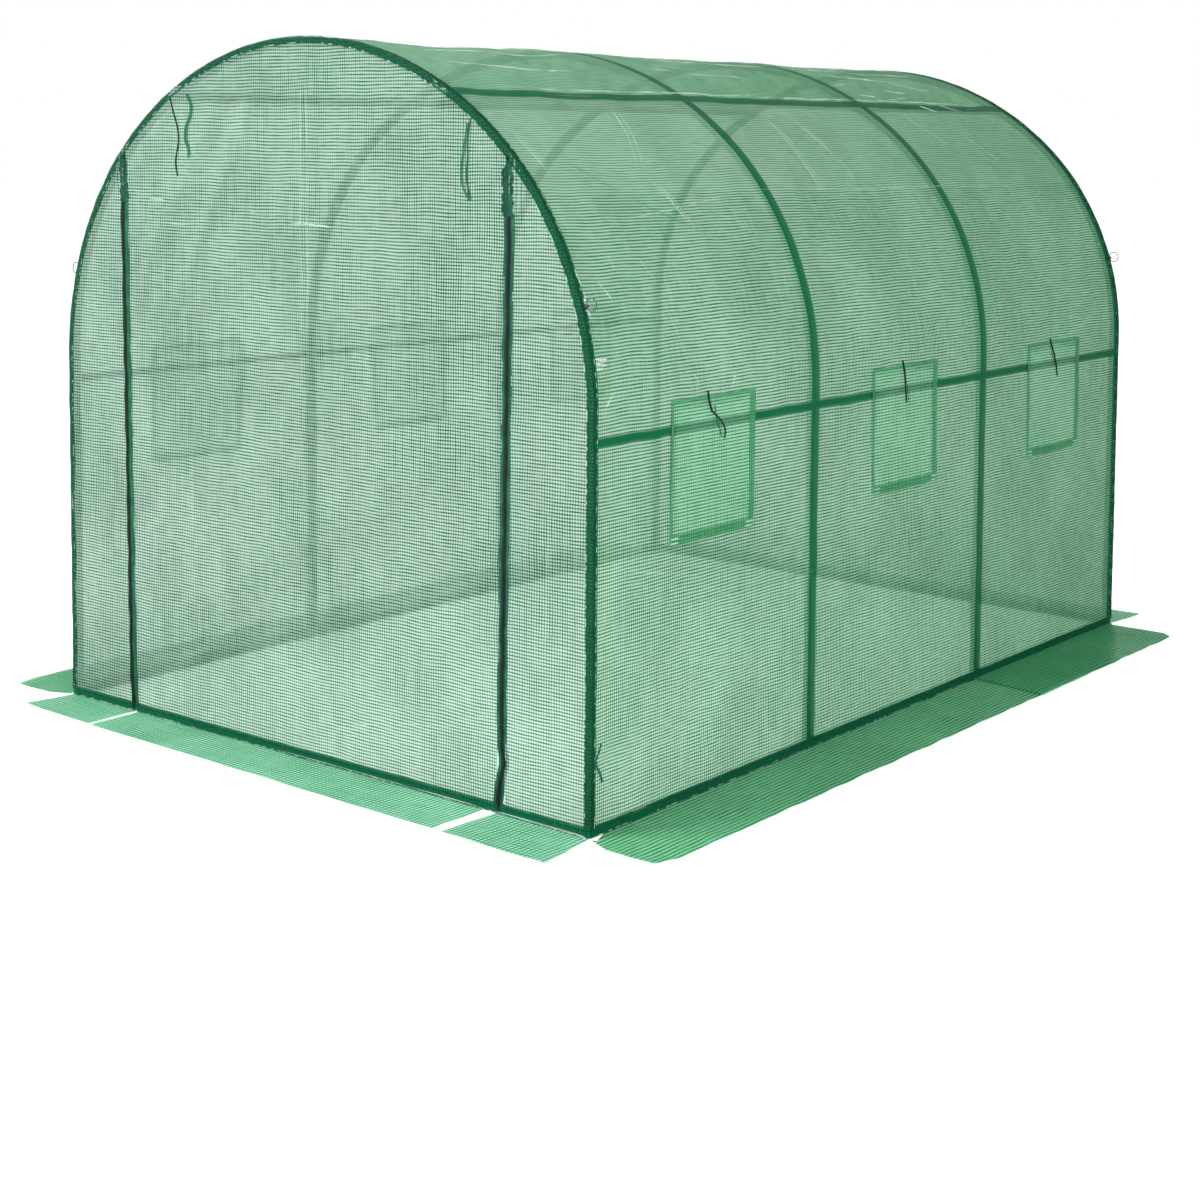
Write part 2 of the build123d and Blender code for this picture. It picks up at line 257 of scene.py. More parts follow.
def braid(name, dark, light, pitch):
    """A braided cord: slanted strands from one diagonal wave, mixed with its fibres' noise."""
    m = new_material(name)
    at = put(m, "TexCoord").outputs["Object"]
    links = {"Vector": at, "Scale": 1 / pitch, "Distortion": 1.5, "Detail": 1.0}
    strand = put(m, "TexWave", links, bands_direction="DIAGONAL").outputs["Fac"]
    fibre = noise(m, at, 900.0, 3.0)
    tone = blend(m, maths(m, "MULTIPLY", strand, fibre), dark, light)
    bump = put(m, "Bump", {"Height": strand, "Strength": 0.5, "Distance": 0.0006}).outputs[0]
    links = {"Base Color": tone, "Roughness": 0.8, "Normal": bump, "Specular IOR Level": 0.15}
    return finish_with(m, put(m, "BsdfPrincipled", links).outputs[0])


black_cord = braid("black_cord", (0.004, 0.012, 0.008, 1), (0.02, 0.05, 0.035, 1), 0.012)
green_cord = braid("green_cord", (0.004, 0.06, 0.03, 1), (0.02, 0.17, 0.09, 1), 0.012)

# %% [markdown]
# Two pairs of ties hang at the door's top corners, to hold the rolled door, and one hangs
# over each window. A free cord is a curve with a round section. Its control points are the
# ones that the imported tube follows, and a smooth spline near them hangs like cord, where
# straight runs would look like wire.

# %% Ties
tie_thickness = 0.004


def hang_tie(node, points, length, material):
    """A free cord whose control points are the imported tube's, in metres."""
    curve = bpy.data.curves.new("cord_" + node, "CURVE")
    curve.dimensions = "3D"
    spline = curve.splines.new("NURBS")
    spline.points.add(len(points) - 1)
    for knot, point in zip(spline.points, points):
        knot.co = (*point, 1.0)
    spline.order_u = 3
    spline.use_endpoint_u = True
    spline.resolution_u = 10
    curve.bevel_depth = tie_thickness / 2
    curve.bevel_resolution = 3
    curve.use_fill_caps = True
    curve.materials.append(material)
    piece = bpy.data.objects.new("cord_" + node, curve)
    bpy.context.scene.collection.objects.link(piece)
    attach(piece, "root")
    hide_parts(node)
    print(piece.name, length, "m")


outer_y, inner_y = -1.4570, -1.4504  # just outside and just inside the door end's film
door_ties = {
    "left_outer": (outer_y, black_cord, 0.227, [
        (-528, 1793), (-520, 1762), (-506, 1732), (-494, 1700),
        (-492, 1665), (-503, 1633), (-508, 1601), (-498, 1572),
    ]),
    "left_inner": (inner_y, green_cord, 0.189, [
        (-456, 1800), (-440, 1772), (-443, 1740), (-460, 1710),
        (-465, 1678), (-452, 1650), (-448, 1618),
    ]),
    "right_outer": (outer_y, green_cord, 0.200, [
        (612, 1730), (605, 1698), (602, 1665), (603, 1631),
        (598, 1597), (602, 1563), (613, 1532),
    ]),
    "right_inner": (inner_y, green_cord, 0.196, [
        (600, 1720), (594, 1689), (587, 1656), (582, 1622),
        (580, 1588), (589, 1557), (606, 1531),
    ]),
}
for name, (y, material, length, route) in door_ties.items():
    hang_tie("tie_door_" + name, [(x / 1000, y, z / 1000) for x, z in route], length, material)
window_tie_x = 1.0083  # just outside the flaps
window_ties = [
    (0.160, [(-996, 1048), (-988, 1018), (-976, 992), (-949, 978), (-924, 956), (-913, 937), (-919, 918)]),
    (0.130, [(-26, 1048), (-14, 1020), (-7, 988), (-3, 954), (4, 922)]),
    (0.138, [(920, 1044), (938, 1012), (958, 984), (972, 953), (979, 920)]),
]
for side, sign in (("right", 1), ("left", -1)):
    for i, (length, route) in enumerate(window_ties):
        points = [(sign * window_tie_x, y / 1000, z / 1000) for y, z in route]
        hang_tie(f"tie_window_{side}_{i + 1}", points, length, black_cord)

# %% [markdown]
# The hoops set the tunnel's form: upright posts, a bend above each, and a flatter crown.
# This is a three-centred arch. One function gives the point at any length along it, at any
# height above its centre line, so the tubes, the sockets and the cover all share it.

# %% The arch
half_span, straight, crown_top = 0.989, 1.020, 1.934  # of the tubes' centre line
join = math.radians(48.9)  # where the haunch's circle meets the crown's
slant = (1 - math.sin(join)) / math.cos(join)
haunch_radius = (crown_top - straight - slant * half_span) / (1 - slant)
inset = half_span - haunch_radius
crown_radius = haunch_radius + inset / math.cos(join)
haunch_end = straight + haunch_radius * join
crown = haunch_end + crown_radius * (math.pi / 2 - join)
roof_rail = crown - crown_radius * math.radians(30.3)
hoop_y = np.array([-1.44, -0.48, 0.48, 1.44])
spacing = hoop_y[1] - hoop_y[0]


def arch(s, out=0.0):
    """x and z at s metres along the hoop from its right foot, and out metres outside its
    centre line: up the post, round the haunch's circle, then round the crown's. The left
    half mirrors the right one."""
    s = np.asarray(s, float)
    half = np.where(s > crown, 2 * crown - s, s)
    low, high = (half - straight) / haunch_radius, join + (half - haunch_end) / crown_radius
    x = np.select(
        [half <= straight, half <= haunch_end],
        [half_span + out, inset + (haunch_radius + out) * np.cos(low)],
        (crown_radius + out) * np.cos(high),
    )
    z = np.select(
        [half <= straight, half <= haunch_end],
        [half, straight + (haunch_radius + out) * np.sin(low)],
        crown_top - crown_radius + (crown_radius + out) * np.sin(high),
    )
    return np.where(s > crown, -x, x), z


def on_hoop(s, y, out=0.0):
    """Points on the arch at s, y metres along the tunnel."""
    x, z = arch(s, out)
    return np.stack(np.broadcast_arrays(x, np.asarray(y, float), z), -1)


print("haunch radius", round(haunch_radius, 3), "crown radius", round(crown_radius, 3))

# %% [markdown]
# The tubes are steel with a dark green powder coat. Such a coat is smooth with a faint
# orange-peel ripple, a little dusty, and paler where the tubes were scraped in packing.
# Noise on Object coordinates gives all three without any seam along the tube.

# %% Coated steel


def coated(name, colour, scuff, roughness):
    """Powder coat: colour turning to scuff where dust lies and where fine noise peaks."""
    m = new_material(name)
    at = put(m, "TexCoord").outputs["Object"]
    dust = noise(m, at, 9.0, 5.0, 0.6)
    scratch = spread(m, noise(m, at, 140.0, 4.0, 0.7), 0.60, 0.74, 0.0, 0.6)
    tone = blend(m, spread(m, dust, 0.35, 0.7, 0.0, 0.5), colour, scuff)
    tone = blend(m, scratch, tone, scuff)
    peel = put(m, "Bump", {"Height": noise(m, at, 450.0), "Strength": 0.15, "Distance": 0.001}).outputs[0]
    gloss = spread(m, dust, 0.3, 0.7, roughness - 0.06, roughness + 0.12)
    links = {"Base Color": tone, "Roughness": gloss, "Normal": peel}
    links |= {"Coat Weight": 0.2, "Coat Roughness": 0.2}
    return finish_with(m, put(m, "BsdfPrincipled", links).outputs[0])


tube_coat = coated("tube_coat", (0.006, 0.075, 0.038, 1), (0.02, 0.13, 0.075, 1), 0.38)
socket_coat = coated("socket_coat", (0.008, 0.095, 0.05, 1), (0.03, 0.16, 0.09, 1), 0.42)

# %% [markdown]
# Each hoop is five tubes: two posts, two haunches and a crown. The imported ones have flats,
# to keep them light, so here each is a round tube along the same line. It could be a curve
# with a bevel, but a grid of rings gives the same roundness everywhere and a clean end.

# %% Hoop tubes
hoop_tube_radius, rail_radius = 0.011, 0.0095
tube_gap = 0.006  # between two tubes' ends, inside a socket
base_height, side_rail = 0.013, 0.960  # of the rails along the hoop
post_line = on_hoop([base_height + rail_radius + tube_gap, side_rail - tube_gap], 0.0)
haunch_line = on_hoop(stops([side_rail + tube_gap, straight, roof_rail - tube_gap], 0.045), 0.0)
crown_line = on_hoop(stops([roof_rail + tube_gap, 2 * crown - roof_rail - tube_gap], 0.045), 0.0)
mirror_x = np.array([-1.0, 1.0, 1.0])
for i, y in enumerate(hoop_y):
    at = np.array([0.0, y, 0.0])
    posts = [(post_line + at, hoop_tube_radius), (post_line * mirror_x + at, hoop_tube_radius)]
    tubes(f"round_posts_{i + 1}", posts, tube_coat, [f"hoop_{i + 1}_posts"], 20)
    bends = [(haunch_line + at, hoop_tube_radius), (haunch_line * mirror_x + at, hoop_tube_radius)]
    bends.append((crown_line + at, hoop_tube_radius))
    tubes(f"round_arch_{i + 1}", bends, tube_coat, [f"hoop_{i + 1}_arch"], 20)

# %% [markdown]
# Lengthwise rails tie the hoops together at the ground, at waist height and on the roof. At
# both ends a tube runs across the ground. They are a little thinner than the hoops.

# %% Rails
rail_gap = 0.014  # from a hoop's centre line to a rail's end
rail_stations = {"base": base_height, "side": side_rail, "roof": roof_rail}
for level, station in rail_stations.items():
    for side, sign in (("left", -1), ("right", 1)):
        x, z = arch(station)
        bays = [
            (line_of((sign * x, a + rail_gap, z), (sign * x, b - rail_gap, z)), rail_radius)
            for a, b in zip(hoop_y, hoop_y[1:])
        ]
        tubes(f"round_{level}_rails_{side}", bays, tube_coat, [f"{level}_rails_{side}"], 16)
cross = half_span - rail_gap
for name, y in (("door_base_tube", hoop_y[0]), ("rear_base_tube", hoop_y[-1])):
    line = line_of((-cross, y, base_height), (cross, y, base_height))
    tubes("round_" + name, [(line, rail_radius)], tube_coat, [name], 16)

# %% [markdown]
# Sockets join the tubes: short sleeves with an arm for each rail, pressed from thin steel,
# with a rolled rim at each mouth. A tube whose radius grows a little at its ends is enough
# to show the rim. Booleans would weld sleeve and arm but add many thin faces for no gain.

# %% Sockets
sleeve_radius, arm_radius, rim = 0.0124, 0.0109, 0.0008
sleeve_half, arm_reach = 0.042, 0.046


def rimmed(line, radius):
    """The radius along a sleeve: rounded at its lip, a rim behind it, then plain."""
    size = np.full(len(line), radius)
    size[[0, -1]] = radius - rim / 2
    size[[1, -2]] = radius + rim / 2
    return line, size


def sleeve(station, y, sign):
    """A sleeve along the hoop, centred on a rail's station and cut off at the ground."""
    low = max(station - sleeve_half, 0.0005)
    ends = np.array([0.0, 0.003, 0.008])
    s = np.concatenate([low + ends, [station], station + sleeve_half - ends[::-1]])
    return rimmed(on_hoop(s, y) * np.array([sign, 1.0, 1.0]), sleeve_radius)


def arm(start, direction):
    """An arm from the hoop's centre line out to its mouth."""
    reach = np.array([0.0, 0.010, arm_reach - 0.008, arm_reach - 0.003, arm_reach])[:, None]
    line, size = rimmed(start + reach * np.asarray(direction, float), arm_radius)
    size[:2] = arm_radius
    return line, size


for i, y in enumerate(hoop_y):
    along = [(0, 1, 0)] if i == 0 else [(0, -1, 0)] if i == 3 else [(0, 1, 0), (0, -1, 0)]
    parts = []
    for station in rail_stations.values():
        for sign in (1, -1):
            start = on_hoop(station, y) * np.array([sign, 1.0, 1.0])
            inward = [(-sign, 0, 0)] if station == base_height and i in (0, 3) else []
            parts.append(sleeve(station, y, sign))
            parts += [arm(start, direction) for direction in along + inward]
    tubes(f"round_sockets_{i + 1}", parts, socket_coat, [f"hoop_{i + 1}_sockets"], 20)

# %% [markdown]
# The cover is polythene film with a green grid of flat threads laminated into it. The threads
# are about 8 mm apart one way and 9 mm the other. Light comes through the milky cells, and
# things behind show dimly. So the film mixes three shaders: one that scatters light back, one
# that lets it glow through, and one that is plainly clear. The grid steers colour and
# clearness together. It is drawn from the cloth's own lengths in the UV map.

# %% Threads
row_pitch, column_pitch = 0.0087, 0.0080


def thread(m, length, pitch, width, soft):
    """1 on a thread and 0 in a cell: a saw-tooth distance to the nearest thread, cut off softly."""
    distance = maths(m, "PINGPONG", length, pitch / 2)
    return spread(m, distance, width / 2 - soft, width / 2 + soft, 1.0, 0.0)


print("threads every", 1000 * row_pitch, "and", 1000 * column_pitch, "mm")

# %% [markdown]
# Where the film touches a hoop or a rail, the tube shows through clearly as a dark band. The
# film here stays a little off the tubes, so the bands are painted: a distance from each
# tube's line, cut off softly. The film could be laid on the tubes instead, but two surfaces
# in one place show through each other in patches.

# %% Bands over the tubes
tube_reach = 0.0105  # how far from a tube's line the film still lies on it
hoop_reach = 0.0190  # more at the hoops, which are thicker and hold the film from both bays


def near(m, distance, reach=tube_reach):
    """1 where the film lies on a tube and 0 a few millimetres beside it."""
    return spread(m, distance, reach - 0.002, reach + 0.004, 1.0, 0.0)


def beside_frame(m, u, half):
    """Where the long cover lies on hoops and rails. u runs along the tunnel, and half is the
    length over the hoop from the nearer foot."""
    from_middle = maths(m, "ABSOLUTE", u)
    marked = near(m, maths(m, "ABSOLUTE", maths(m, "SUBTRACT", from_middle, spacing / 2)), hoop_reach)
    for y, reach in ((hoop_y[0], 0.008), (hoop_y[-1], hoop_reach)):
        end = near(m, maths(m, "ABSOLUTE", maths(m, "SUBTRACT", u, float(y))), reach)
        marked = maths(m, "MAXIMUM", marked, end)
    for station, reach in ((base_height, tube_reach), (side_rail, tube_reach), (roof_rail, 0.0165)):
        rail = near(m, maths(m, "ABSOLUTE", maths(m, "SUBTRACT", half, station)), reach)
        marked = maths(m, "MAXIMUM", marked, rail)
    return marked


print("bands", 2000 * hoop_reach, "mm wide on hoops and", 2000 * tube_reach, "mm on rails")

# %% [markdown]
# Now the film itself. Its colour is the cell's, darkened by each thread, so it is darkest
# where two cross. The threads aren't even on a real sheet: noise stretched along them makes
# some stronger. The haze, a value of each point of the cloth, dulls the colour in random
# broad patches and adds painted shade on one slope of each fold. One function makes all the
# films, from the clear walls to the dull skirts.

# %% Reinforced film
dull_fold = 1.578  # along the hoop, where the fold runs from end to end
glow_share = 0.5  # of the film's colour that comes from light passing through


def film(name, cell, yarn, clear_cell, clear_yarn, touching=None, gloss=0.32, layers=1, shine=0.12,
         coarse=1.0, columns_show=1.0):
    """Green reinforced film. cell is the colour between the threads, and yarn is what a thread
    multiplies it by, so that crossings are darkest. clear_cell and clear_yarn say how much of
    what is behind shows through. touching is "cover", "end" or "flap" for film that lies on
    tubes or on a rail. The cover is duller above the fold that runs along it at dull_fold.
    gloss is the least roughness and shine the reflection's strength. Two layers show a second
    set of rows. coarse widens the grid, and columns_show is how strongly its columns show."""
    m = new_material(name)
    uv = put(m, "UVMap", uv_map="cloth").outputs[0]
    split = put(m, "SeparateXYZ", {0: uv})
    u, v = split.outputs[0], split.outputs[1]
    rows = thread(m, v, row_pitch * coarse, 0.0040 * coarse, 0.0011 * coarse)
    columns = thread(m, u, column_pitch * coarse, 0.0037 * coarse, 0.0011 * coarse)
    along_row = put(m, "Mapping", {"Vector": uv, "Scale": (16.0, 115.0, 1.0)}).outputs[0]
    along_column = put(m, "Mapping", {"Vector": uv, "Scale": (125.0, 5.0, 1.0)}).outputs[0]
    row_ink = spread(m, noise(m, along_row, 1.0, 1.0), 0.35, 0.62, 0.80, 1.0)
    column_ink = spread(m, noise(m, along_column, 1.0, 1.0), 0.38, 0.62, 0.78, 1.0)
    strong_row = maths(m, "MULTIPLY", rows, row_ink)
    strong_column = maths(m, "MULTIPLY", columns, column_ink)
    patch = spread(m, noise(m, uv, 2.6, 2.0), 0.38, 0.62, 0.74, 1.0)
    strong_column = maths(m, "MULTIPLY", maths(m, "MULTIPLY", strong_column, patch), columns_show)
    if layers == 2:
        under = maths(m, "ADD", v, 0.0037)  # the lower layer lies a little askew
        second = thread(m, under, row_pitch, 0.0036, 0.0012)
        strong_row = maths(m, "MAXIMUM", strong_row, maths(m, "MULTIPLY", second, 0.8))
    if touching == "cover":
        half = maths(m, "MINIMUM", v, maths(m, "SUBTRACT", 2 * crown, v))
        above_fold = spread(m, half, dull_fold - 0.003, dull_fold + 0.003, 0.0, 1.0)
        strong_row = maths(m, "MULTIPLY", strong_row, spread(m, above_fold, 0.0, 1.0, 1.0, 0.86))
        strong_column = maths(m, "MULTIPLY", strong_column, spread(m, above_fold, 0.0, 1.0, 1.0, 0.70))
    # The haze darkens the cell in random patches, and on each fold's lower slope as painted shade.
    haze_and_fold_shade = put(m, "Attribute", attribute_name="haze_and_fold_shade").outputs["Fac"]
    tone = blend(m, haze_and_fold_shade, cell, tuple(0.80 * c for c in cell[:3]) + (1,))
    tone = blend(m, strong_row, tone, yarn, "MULTIPLY")
    tone = blend(m, strong_column, tone, yarn, "MULTIPLY")
    woven = maths(m, "MAXIMUM", strong_row, strong_column)
    dense = spread(m, woven, 0.0, 1.0, 1 - clear_cell, 1 - clear_yarn)
    if touching:
        if touching == "cover":
            tone = blend(m, above_fold, tone, (0.88, 0.92, 0.88, 1), "MULTIPLY")
            # Painted shade: the cover turns darker and greener towards the rear end, where less light reaches
            # it.
            tone = blend(m, spread(m, u, -1.2, 1.2, 0.0, 1.0), tone, (0.68, 0.94, 0.77, 1), "MULTIPLY")
            on_tube = beside_frame(m, u, half)
        elif touching == "end":
            to_hoop = put(m, "Attribute", attribute_name="to_hoop").outputs["Fac"]
            at_hoop = near(m, maths(m, "ABSOLUTE", to_hoop), 0.002)
            on_tube = maths(m, "MAXIMUM", at_hoop, near(m, maths(m, "SUBTRACT", v, base_height)))
        else:
            on_rail = near(m, maths(m, "ABSOLUTE", maths(m, "SUBTRACT", v, side_rail)))
            on_tube = maths(m, "MULTIPLY", on_rail, 0.62)
        tone = blend(m, on_tube, tone, (0.0015, 0.19, 0.075, 1))
        dark_thread = maths(m, "MULTIPLY", on_tube, maths(m, "MULTIPLY", woven, 0.25))
        tone = blend(m, dark_thread, tone, (0.001, 0.14, 0.055, 1))
        dense = maths(m, "MAXIMUM", dense, maths(m, "MULTIPLY", on_tube, 0.96))
    raised = maths(m, "MAXIMUM", rows, columns)
    relief = put(m, "Bump", {"Height": raised, "Strength": 0.3, "Distance": 0.0005}).outputs[0]
    skin = put(m, "BsdfPrincipled", {
        "Base Color": tone, "Roughness": spread(m, haze_and_fold_shade, 0.2, 0.8, gloss, gloss + 0.15),
        "Normal": relief, "Specular IOR Level": shine,
    }).outputs[0]
    lit = put(m, "BsdfTranslucent", {"Color": tone, "Normal": relief}).outputs[0]
    body = put(m, "MixShader", {0: glow_share, 1: skin, 2: lit}).outputs[0]
    clear = put(m, "BsdfTransparent", {"Color": (0.93, 1.0, 0.96, 1)}).outputs[0]
    return finish_with(m, put(m, "MixShader", {0: dense, 1: clear, 2: body}).outputs[0])


side_film = film("side_film", (0.76, 1.00, 0.84, 1), (0.022, 0.27, 0.120, 1), 0.34, 0.10, "cover")
roof_film = film(
    "roof_film", (0.55, 0.87, 0.66, 1), (0.06, 0.34, 0.18, 1), 0.24, 0.08, "cover", gloss=0.40, shine=0.2
)
end_film = film("end_film", (0.90, 1.00, 0.94, 1), (0.018, 0.21, 0.11, 1), 0.46, 0.13, "end")

# %% [markdown]
# Film that has been folded small keeps creases, and film pulled over hoops sags between them
# and ripples where it is slack. Ripples are a handful of sine waves with chosen seeds, and a
# crease is a narrow ridge along a line. Both are heights over the cloth's two lengths. A
# cloth simulation could find the sag too, but here the hoops and rails fix nearly all of it.

# %% Ripples and creases


def ripples(a, b, seed, size, height, stretch=(1.0, 1.0)):
    """Soft unevenness: fourteen sine waves in random directions, about size metres long."""
    pick = np.random.default_rng(seed)
    heading, phase = pick.uniform(0, np.pi, 14), pick.uniform(0, 2 * np.pi, 14)
    rate = 2 * np.pi / (size * pick.uniform(0.6, 1.7, 14))
    over_a = np.cos(heading) * a[..., None] * stretch[0]
    over_b = np.sin(heading) * b[..., None] * stretch[1]
    waves = np.sin(rate * (over_a + over_b) + phase)
    return height * waves.sum(-1) / math.sqrt(14)


def crease(a, b, start, end, width, height):
    """A pressed fold from start to end: exp(-(distance / width)^2), fading out at both ends."""
    start, end = np.array(start), np.array(end)
    length = np.linalg.norm(end - start)
    way = (end - start) / length
    along = (a - start[0]) * way[0] + (b - start[1]) * way[1]
    off = (a - start[0]) * way[1] - (b - start[1]) * way[0]
    fade = np.clip(np.minimum(along, length - along) / (0.15 * length), 0, 1)
    return height * fade * np.exp(-((off / width) ** 2))


ripple_sample = ripples(np.linspace(0, 3, 300), np.zeros(300), 11, 0.34, 0.0013)
print("the broad ripples reach", round(1000 * abs(ripple_sample).max(), 1), "mm")

# %% [markdown]
# Every cloth goes through one function, which turns its grid into a mesh with two marks for
# the material: the haze, random tone plus painted shade that follows the slopes of the folds,
# and on an end wall the distance to the hoop. A fold of 1 or 2 mm is too flat to shade by
# itself in soft light, so the haze paints shade on its lower right slope.

# %% Cloth from a grid


def wander(uv, seed=31):
    """The threads of a woven film never run quite straight: this shifts them by 1 to 2 mm."""
    return uv + np.stack([ripples(uv[..., 0], uv[..., 1], seed + i, 0.13, 0.0011) for i in (0, 1)], -1)


fold_shade = 5.0  # how much a slope of 1 darkens the film, as painted shade


def cloth_piece(name, points, uv, material, replaced=(), keep=None, to_hoop=None,
                relief=None):
    """A cloth from rows and columns of points. keep drops the cells that an opening leaves out,
    and to_hoop is each point's distance from the hoop that an end wall lies on. relief is how
    far each point stands out, and the film gets painted shade on a fold's lower right slope."""
    faces = cells(*points.shape[:2])
    if keep is not None:
        faces = faces[keep.ravel()]
    u, v = uv[..., 0], uv[..., 1]
    haze_and_fold_shade = 0.40 + ripples(u, v, 35, 0.42, 0.16) + ripples(u, v, 36, 0.08, 0.07)
    if relief is not None:
        diagonal = np.linalg.norm(points[1, 1] - points[0, 0])
        down, along = np.gradient(relief)
        # Painted shade: each fold's lower right slope is darkened.
        haze_and_fold_shade += np.clip(fold_shade * (down - along) / diagonal, -0.4, 0.4)
    marks = {"haze_and_fold_shade": np.clip(haze_and_fold_shade, 0, 1)}
    if to_hoop is not None:
        marks["to_hoop"] = to_hoop
    return make_piece(
        name, points.reshape(-1, 3), faces, wander(uv).reshape(-1, 2), material, replaced, marks=marks
    )

# %% [markdown]
# The long cover runs over all four hoops in one piece, from the ground on the right to the
# ground on the left. It touches the hoops and rails and hangs slack in each bay between.
# The model holds it as walls, haunches and roof, so it is made in those strips, from one
# function, and neighbouring strips share their edge exactly.

# %% The long cover
end_y = 1.4537  # of the end walls' film
cloth_height = 0.0137  # of the film's middle over the hoops' centre line
cloth_cell = 0.0125  # the grid's pitch
floor_z = 0.0022  # of the cloth's lower edge
far = 2 * crown  # the left foot, along the hoop
window_y = (hoop_y[:-1] + hoop_y[1:]) / 2
opening_half, opening_low, opening_high = 0.160, 0.693, 1.009


def slack(s, y):
    """How far the film sags inwards. It is nothing at hoops, rails and ground, and most in the
    middle of the fields between them."""
    bay = np.abs(np.sin(np.pi * (y - hoop_y[0]) / spacing)) * (np.abs(y) < hoop_y[-1])
    half = np.where(s > crown, 2 * crown - s, s)
    wall = 0.0022 * np.sin(np.pi * half / side_rail)
    haunch = 0.0075 * np.sin(np.pi * (half - side_rail) / (roof_rail - side_rail))
    top = 0.005 * np.sin(np.pi * (half - roof_rail) / (2 * (crown - roof_rail)))
    field = np.select([half < side_rail, half < roof_rail], [wall, haunch], top)
    rail = 0.0032 * np.exp(-(((half - roof_rail) / 0.05) ** 2))
    return np.clip(field, 0, None) * bay**0.8 + rail * bay


def cover_out(s, y):
    """How far the cover stands outside the hoops' centre line, with its ripples and folds."""
    half = np.where(s > crown, 2 * crown - s, s)
    bay = np.clip(np.abs(np.sin(np.pi * (y - hoop_y[0]) / spacing)) * 3, 0, 1)
    loose = ripples(s, y, 11, 0.34, 0.0013) + ripples(s, y, 12, 0.11, 0.00045, (0.4, 1.0))
    loose += ripples(s, y, 13, 0.05, 0.00014)
    on_roof = np.clip((half - roof_rail + 0.05) / 0.15, 0, 1)
    loose += on_roof * (ripples(s, y, 14, 0.30, 0.0022, (1.0, 0.7)) + ripples(s, y, 15, 0.09, 0.0006))
    folds = crease(s, y, (1.555, -1.42), (1.535, 1.42), 0.004, 0.0016)
    folds += crease(s, y, (1.02, -0.02), (1.93, 0.06), 0.004, 0.0010)
    return cloth_height - slack(s, y) + (loose + folds) * bay


def long_cover(s, y):
    """Points of the cover at s metres along the hoop and y metres along the tunnel."""
    return on_hoop(s, y, np.clip(cover_out(s, y), 0.0, 0.0165))


def cover_strip(name, marks, material, replaced, openings=False):
    """A strip of the long cover between lengths along the hoop, with its windows cut out."""
    y_marks = [-end_y, *hoop_y, end_y]
    if openings:
        y_marks = sorted(y_marks + [c + e for c in window_y for e in (-opening_half, opening_half)])
    s, y = stops(marks, cloth_cell), stops(y_marks, cloth_cell)
    grid_s, grid_y = np.meshgrid(s, y, indexing="ij")
    keep = None
    if openings:
        middle_s = (grid_s[:-1, :-1] + grid_s[1:, 1:]) / 2
        middle_y = (grid_y[:-1, :-1] + grid_y[1:, 1:]) / 2
        height = np.where(middle_s > crown, far - middle_s, middle_s)
        beside = np.abs(middle_y[..., None] - window_y).min(-1) < opening_half
        keep = ~(beside & (height > opening_low) & (height < opening_high))
    points = long_cover(grid_s, grid_y)
    uv = np.stack([grid_y, grid_s], -1)
    return cloth_piece(name, points, uv, material, replaced, keep, relief=cover_out(grid_s, grid_y))


wall_marks = [floor_z, opening_low, opening_high, straight]
haunch_marks = [straight, roof_rail]
cover_strip("film_side_right", wall_marks, side_film, ["side_cover_right"], True)
cover_strip("film_side_left", [far - mark for mark in wall_marks[::-1]], side_film, ["side_cover_left"], True)
cover_strip("film_haunch_right", haunch_marks, side_film, ["haunch_cover_right"])
cover_strip("film_haunch_left", [far - mark for mark in haunch_marks[::-1]], side_film, ["haunch_cover_left"])
cover_strip("film_roof", [roof_rail, far - roof_rail], roof_film, ["roof_cover"])
print("over the arch", round(far, 3), "m")

# %% [markdown]
# The door end has a wide door of the same film, a strip each side of it and an arched panel
# above. The rear end is one panel. They are flat cuts sewn to the long cover, so each is a
# grid that fills its outline: rows from the ground up to the arch. Their folds stand out
# towards the viewer, so the ends share one function for how far the film stands out.

# %% The end walls' form
zip_foot, zip_head, zip_top = 0.716, 0.738, 1.500  # x at the foot and the head, and the height
seam_half = 0.013  # half the gap in the film that a zip closes


def zip_x(z):
    """The zips lean outwards a little from foot to head."""
    return zip_foot + (zip_head - zip_foot) * z / zip_top


def end_relief(x, z):
    """How far the door end's film stands out of its plane at x and z."""
    out = ripples(x, z, 21, 0.30, 0.0016) + ripples(x, z, 22, 0.10, 0.0005, (1.0, 0.35))
    out += ripples(x, z, 23, 0.045, 0.00012)
    for start, end, width, height in (
        ((0.010, 1.02), (0.004, 1.90), 0.006, 0.0020),
        ((0.055, 1.10), (0.050, 1.90), 0.006, 0.0016),
        ((-0.03, 1.452), (0.12, 1.446), 0.005, 0.0024),
        ((-0.76, 1.50), (-0.47, 1.86), 0.026, 0.0024),
        ((-0.64, 1.30), (-0.30, 1.83), 0.035, 0.0040),
        ((-0.55, 1.15), (-0.18, 1.80), 0.030, 0.0030),
        ((-0.70, 1.16), (-0.52, 1.60), 0.026, 0.0032),
        ((-0.62, 1.444), (-0.48, 1.436), 0.006, 0.0024),
        ((-0.30, 0.15), (-0.34, 1.40), 0.040, 0.0020),
        ((0.30, 0.20), (0.26, 1.30), 0.045, 0.0018),
        ((-0.60, 0.10), (-0.10, 0.42), 0.020, 0.0016),
    ):
        out = out + crease(x, z, start, end, width, height)
    edge = np.abs(np.abs(x) - zip_x(z))
    gather = np.exp(-((edge / 0.030) ** 2)) * np.exp(-(((z - 1.565) / 0.055) ** 2))
    return out + gather * 0.005 * np.sin(np.abs(x) * 2 * np.pi / 0.016)


def hoop_distance(x, z):
    """Signed distance of points of an end wall from the hoop's centre line: from the post at
    low levels, and from the nearer of the two circles above."""
    x = np.abs(x)
    over = np.arctan2(z - (crown_top - crown_radius), x) > join
    haunch = np.hypot(x - inset, z - straight) - haunch_radius
    top = np.hypot(x, z - (crown_top - crown_radius)) - crown_radius
    return np.select([z < straight, over], [x - half_span, top], haunch)


